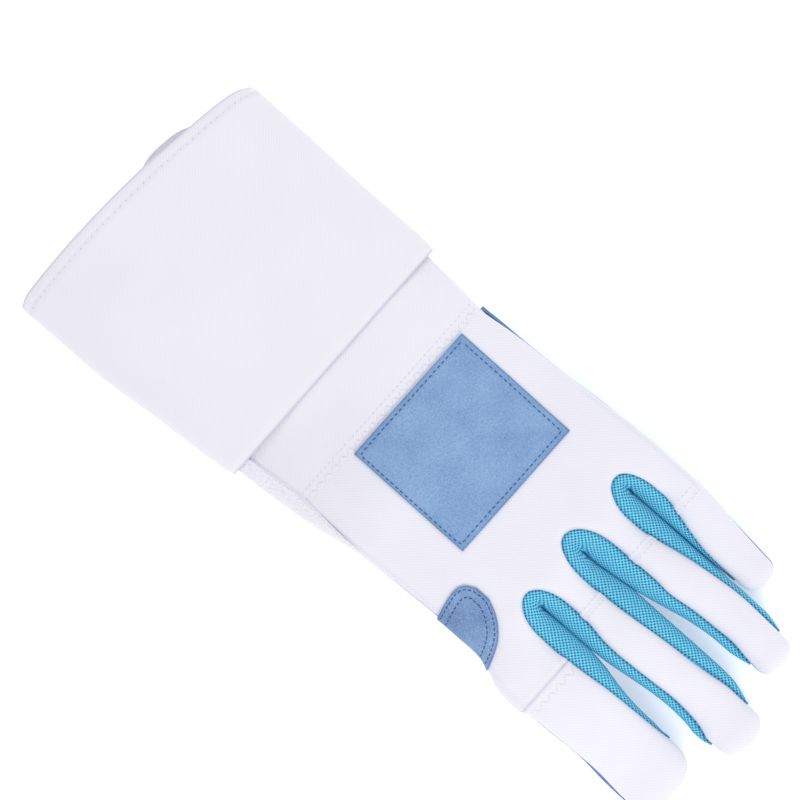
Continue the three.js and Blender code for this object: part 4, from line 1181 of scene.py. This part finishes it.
step, up = np.meshgrid(np.linspace(0, 1, 50), np.linspace(0, 1, 44), indexing="ij")
tongue = tongue_point(step, up)
tongue_flags = np.zeros(step.shape, int)
tongue_flags[-1] = LEVEL
tongue_patch = shell("tongue_patch", [plain(tongue, tongue_flags)], WALL_PATCH, tongue_suede,
                     "thumb_patch", flip=True, roll=PATCH_ROLL)

# %% [markdown]
# Stitches. A sewing machine leaves short, tight pillows of thread whose ends dip into the cloth.
# Here each is an ellipse swept along a short arc, mostly 2 mm long, and they come every 2.6 mm or
# less. They are laid on the finished surfaces, so that they follow every roll and wave.

# %% Rows of stitches
STITCH_PITCH, STITCH_LENGTH, STITCH_WIDTH = 2.6, 2.0, 0.48
# Middle of a stitch above the cloth, how far its ends dip, and its thickness for its width
STITCH_LIFT, STITCH_DIP, STITCH_FLAT = 0.1, 0.28, 0.75
RINGS, SIDES = 7, 6
ZIGZAG_STEP = 2.2


def packed(points):
    """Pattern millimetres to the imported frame, on the raised floor."""
    return np.column_stack([points[:, :2], points[:, 2] + bed(points[:, 0], points[:, 1])]) + SHIFT


def surface_trees(pieces):
    """One search tree for each piece's surface."""
    return [BVHTree.FromObject(piece, bpy.context.evaluated_depsgraph_get()) for piece in pieces]


def on_top(pieces, plan):
    """Drops a plan line on some pieces from above. Places that miss them are left out."""
    trees, found = surface_trees(pieces), []
    for x, y in (densify(plan, 0.5) + SHIFT[:2]) / 1000:
        hits = [tree.ray_cast(Vector((x, y, 0.2)), Vector((0, 0, -1)))[0] for tree in trees]
        hits = [hit for hit in hits if hit]
        if hits:
            found.append(max(hits, key=lambda hit: hit.z))
    return np.array(found) * 1000


def row_of_stitches(path, pitch=STITCH_PITCH, length=STITCH_LENGTH):
    """Both ends of each stitch along a line of points."""
    run = running(path)
    middle = np.arange(pitch / 2, run[-1] - pitch / 3, pitch)
    return [np.stack([np.interp(middle + away, run, path[:, i]) for i in range(3)], 1)
            for away in (-length / 2, length / 2)]


def stitches(name, pieces, rows, material):
    """One mesh of all the stitches of some rows of end points, laid on the nearest piece."""
    start, end = [np.concatenate([row[i] for row in rows]) for i in (0, 1)]
    middle, trees = (start + end) / 2, surface_trees(pieces)
    near = [min((tree.find_nearest(Vector(place / 1000)) for tree in trees), key=lambda hit: hit[3])
            for place in middle]
    place, normal = np.array([hit[0] for hit in near]) * 1000, np.array([hit[1] for hit in near])
    length = np.linalg.norm(end - start, axis=1, keepdims=True)
    along = (end - start) / length
    side = unit(np.cross(normal, along))
    along = np.cross(side, normal)
    half = length[:, :, None, None] / 2
    t = np.linspace(-1, 1, RINGS)[None, :, None, None]
    around = (np.arange(SIDES) / SIDES * TAU)[None, None, :, None]
    radius = STITCH_WIDTH / 2 * np.sqrt(1 - 0.9 * t ** 2)
    place, normal, along, side = [item[:, None, None, :] for item in (place, normal, along, side)]
    lift = STITCH_LIFT - STITCH_DIP * t ** 2 + STITCH_FLAT * radius * np.sin(around)
    points = place + along * half * t + side * radius * np.cos(around) + normal * lift
    i, j = np.meshgrid(np.arange(RINGS - 1), np.arange(SIDES), indexing="ij")
    a, b = (i * SIDES + j).ravel(), (i * SIDES + (j + 1) % SIDES).ravel()
    last = (RINGS - 1) * SIDES
    one = np.concatenate([np.stack([a, b, b + SIDES], 1), np.stack([a, b + SIDES, a + SIDES], 1),
                          [[0, k + 1, k] for k in range(1, SIDES - 1)],
                          [[last, last + k, last + k + 1] for k in range(1, SIDES - 1)]])
    faces = (one[None] + RINGS * SIDES * np.arange(len(half))[:, None, None]).reshape(-1, 3)
    piece = mesh_object(name, points.reshape(-1, 3) - SHIFT, faces, None, material)
    print(name, "stitches:", len(half))


def zigzag_stitches(pieces, start, end, height):
    """One stitch for each leg of a zigzag between two places, height high."""
    start, end = np.array(start, float), np.array(end, float)
    count = int(np.linalg.norm(end - start) / ZIGZAG_STEP)
    corners = start + (end - start) * np.linspace(0, 1, count + 1)[:, None]
    corners[:, 1] += height * (np.arange(count + 1) % 2 - 0.5)
    legs = [on_top(pieces, np.stack(leg)) for leg in zip(corners[:-1], corners[1:])]
    legs = [leg for leg in legs if len(leg) > 2]
    return [np.array([leg[i] for leg in legs]) for i in (0, -1)]


def straight_row(pieces, start, end, y, pitch):
    """A row of stitches straight across at one place along the hand."""
    return row_of_stitches(on_top(pieces, np.array([[start, y], [end, y]])), pitch)


# %% [markdown]
# Dark blue thread holds the two patches. The tongue has two rows, one inside the other.

# %% Stitches of the patches
def inset(path, depth):
    """A plan line moved to its left by depth, less the points that come nearer to it than that."""
    way = unit(np.gradient(path, axis=0))
    moved = path + depth * np.stack([-way[:, 1], way[:, 0]], 1)
    return moved[distance_to(moved, path) > depth - 0.05]


TONGUE_PITCH, TONGUE_INSETS, TONGUE_END = 2.2, (1.4, 4.4), 0.93
stitches("patch_stitches", [square_patch], [row_of_stitches(packed(patch_seam))], blue_thread)
end = np.linspace(TONGUE_END, 0, 80)
sides = [(end, 0 * end), (0 * end, 1 - end / TONGUE_END), (end[::-1], 0 * end + 1)]
tongue_rim = densify(np.concatenate([tongue_point(*side) for side in sides])[:, :2], 0.3)
tongue_rows = [row_of_stitches(on_top([tongue_patch], inset(tongue_rim, -depth)), TONGUE_PITCH)
               for depth in TONGUE_INSETS]
stitches("tongue_stitches", [tongue_patch], tongue_rows, blue_thread)

# %% [markdown]
# White thread sews the hem of the cuff, two rows across three fingers' seams, a zigzag on the
# index finger and a zigzag with a straight row at the wrist. The thread is drawn slightly greyer than
# the cloth as painted shade of the stitches, and the hem's thread greyer still as painted shade in
# its groove. At the hem the stitches are short and wide apart, so that they look like needle holes.

# %% White stitches
HEM_PITCH, HEM_STITCH = 3.3, 1.0
# Where the rows start and end across, and the places along
FINGER_SPANS, FINGER_ROWS = [(-53, -42), (-25.5, -13.5), (4.5, 17)], (110.2, 113.6)
INDEX_ZIGZAG = (34, 123), (60, 123)
WRIST_SPAN, WRIST_ROW, WRIST_ZIGZAG = (-47.5, 57.5), -4.4, -1.6
hem_rows = [row_of_stitches(hem_line + SHIFT, HEM_PITCH, HEM_STITCH)]
stitches("hem_stitches", [cuff_cloth], hem_rows, painted_shade_hem_thread)
finger_rows = [straight_row(white_panels, *span, y, 2.3) for span in FINGER_SPANS
               for y in FINGER_ROWS]
finger_rows.append(zigzag_stitches(white_panels, *INDEX_ZIGZAG, 3.4))
stitches("finger_stitches", white_panels, finger_rows, white_thread)
wrist_pieces = [band_cloth, back_cloth]
wrist_rows = [straight_row([band_cloth], *WRIST_SPAN, WRIST_ROW, 2.4),
              zigzag_stitches(wrist_pieces, *[(x, WRIST_ZIGZAG) for x in WRIST_SPAN], 2.6)]
stitches("wrist_stitches", wrist_pieces, wrist_rows, white_thread)

# %% [markdown]
# The photograph is taken straight down on a white table under soft light from all round. The long
# lens stands well back, so the picture is nearly without perspective.

# %% Floor, light and camera
floor_material, tree, shader = new_material("white_table")
shader.inputs["Base Color"].default_value = linear("#fbfbfd")
shader.inputs["Roughness"].default_value = 0.9
shader.inputs["Emission Color"].default_value = linear("#ffffff")
shader.inputs["Emission Strength"].default_value = 0.35
floor_mesh = bpy.data.meshes.new("table")
floor_mesh.from_pydata([(-3, -3, 0), (3, -3, 0), (3, 3, 0), (-3, 3, 0)], [], [(0, 1, 2, 3)])
floor_mesh.materials.append(floor_material)
linked("table", floor_mesh)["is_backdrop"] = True

world = bpy.data.worlds.new("studio")
bpy.context.scene.world = world
world.use_nodes = True
world.node_tree.nodes["Background"].inputs["Color"].default_value = linear("#ffffff")
world.node_tree.nodes["Background"].inputs["Strength"].default_value = 0.72


AIM = (0, 0, 0.02)


def area_light(name, place, size, power):
    """A square soft light that looks from a place to the glove."""
    lamp = bpy.data.lights.new(name, "AREA")
    lamp.size, lamp.energy = size, power
    holder = linked(name, lamp)
    holder.location = place
    holder.rotation_euler = (Vector(AIM) - Vector(place)).to_track_quat("-Z", "Y").to_euler()


area_light("key", (0.5, 0.9, 1.1), 0.7, 7.0)
area_light("fill", (-0.8, -0.5, 1.0), 0.9, 3.5)

# Lens and sensor in millimetres, the picture's width on the table in metres, and how far the
# picture is turned against the hand
LENS, SENSOR, FIELD = 400.0, 36.0, 0.32
PICTURE_TURN = math.atan2(0.749, -0.6626)
camera_data = bpy.data.cameras.new("camera")
camera_data.lens, camera_data.sensor_width = LENS, SENSOR
camera_data.clip_end = 20
camera = linked("camera", camera_data)
camera.location = (SHIFT[0] / 1000, SHIFT[1] / 1000, FIELD * LENS / SENSOR + AIM[2])
camera.rotation_euler = (0, 0, PICTURE_TURN)
bpy.context.scene.camera = camera
bpy.context.scene.view_settings.view_transform = "Standard"

# %% Size of the finished glove
low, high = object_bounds()
print("visual box, m:", np.round(np.array(high) - np.array(low), 4))
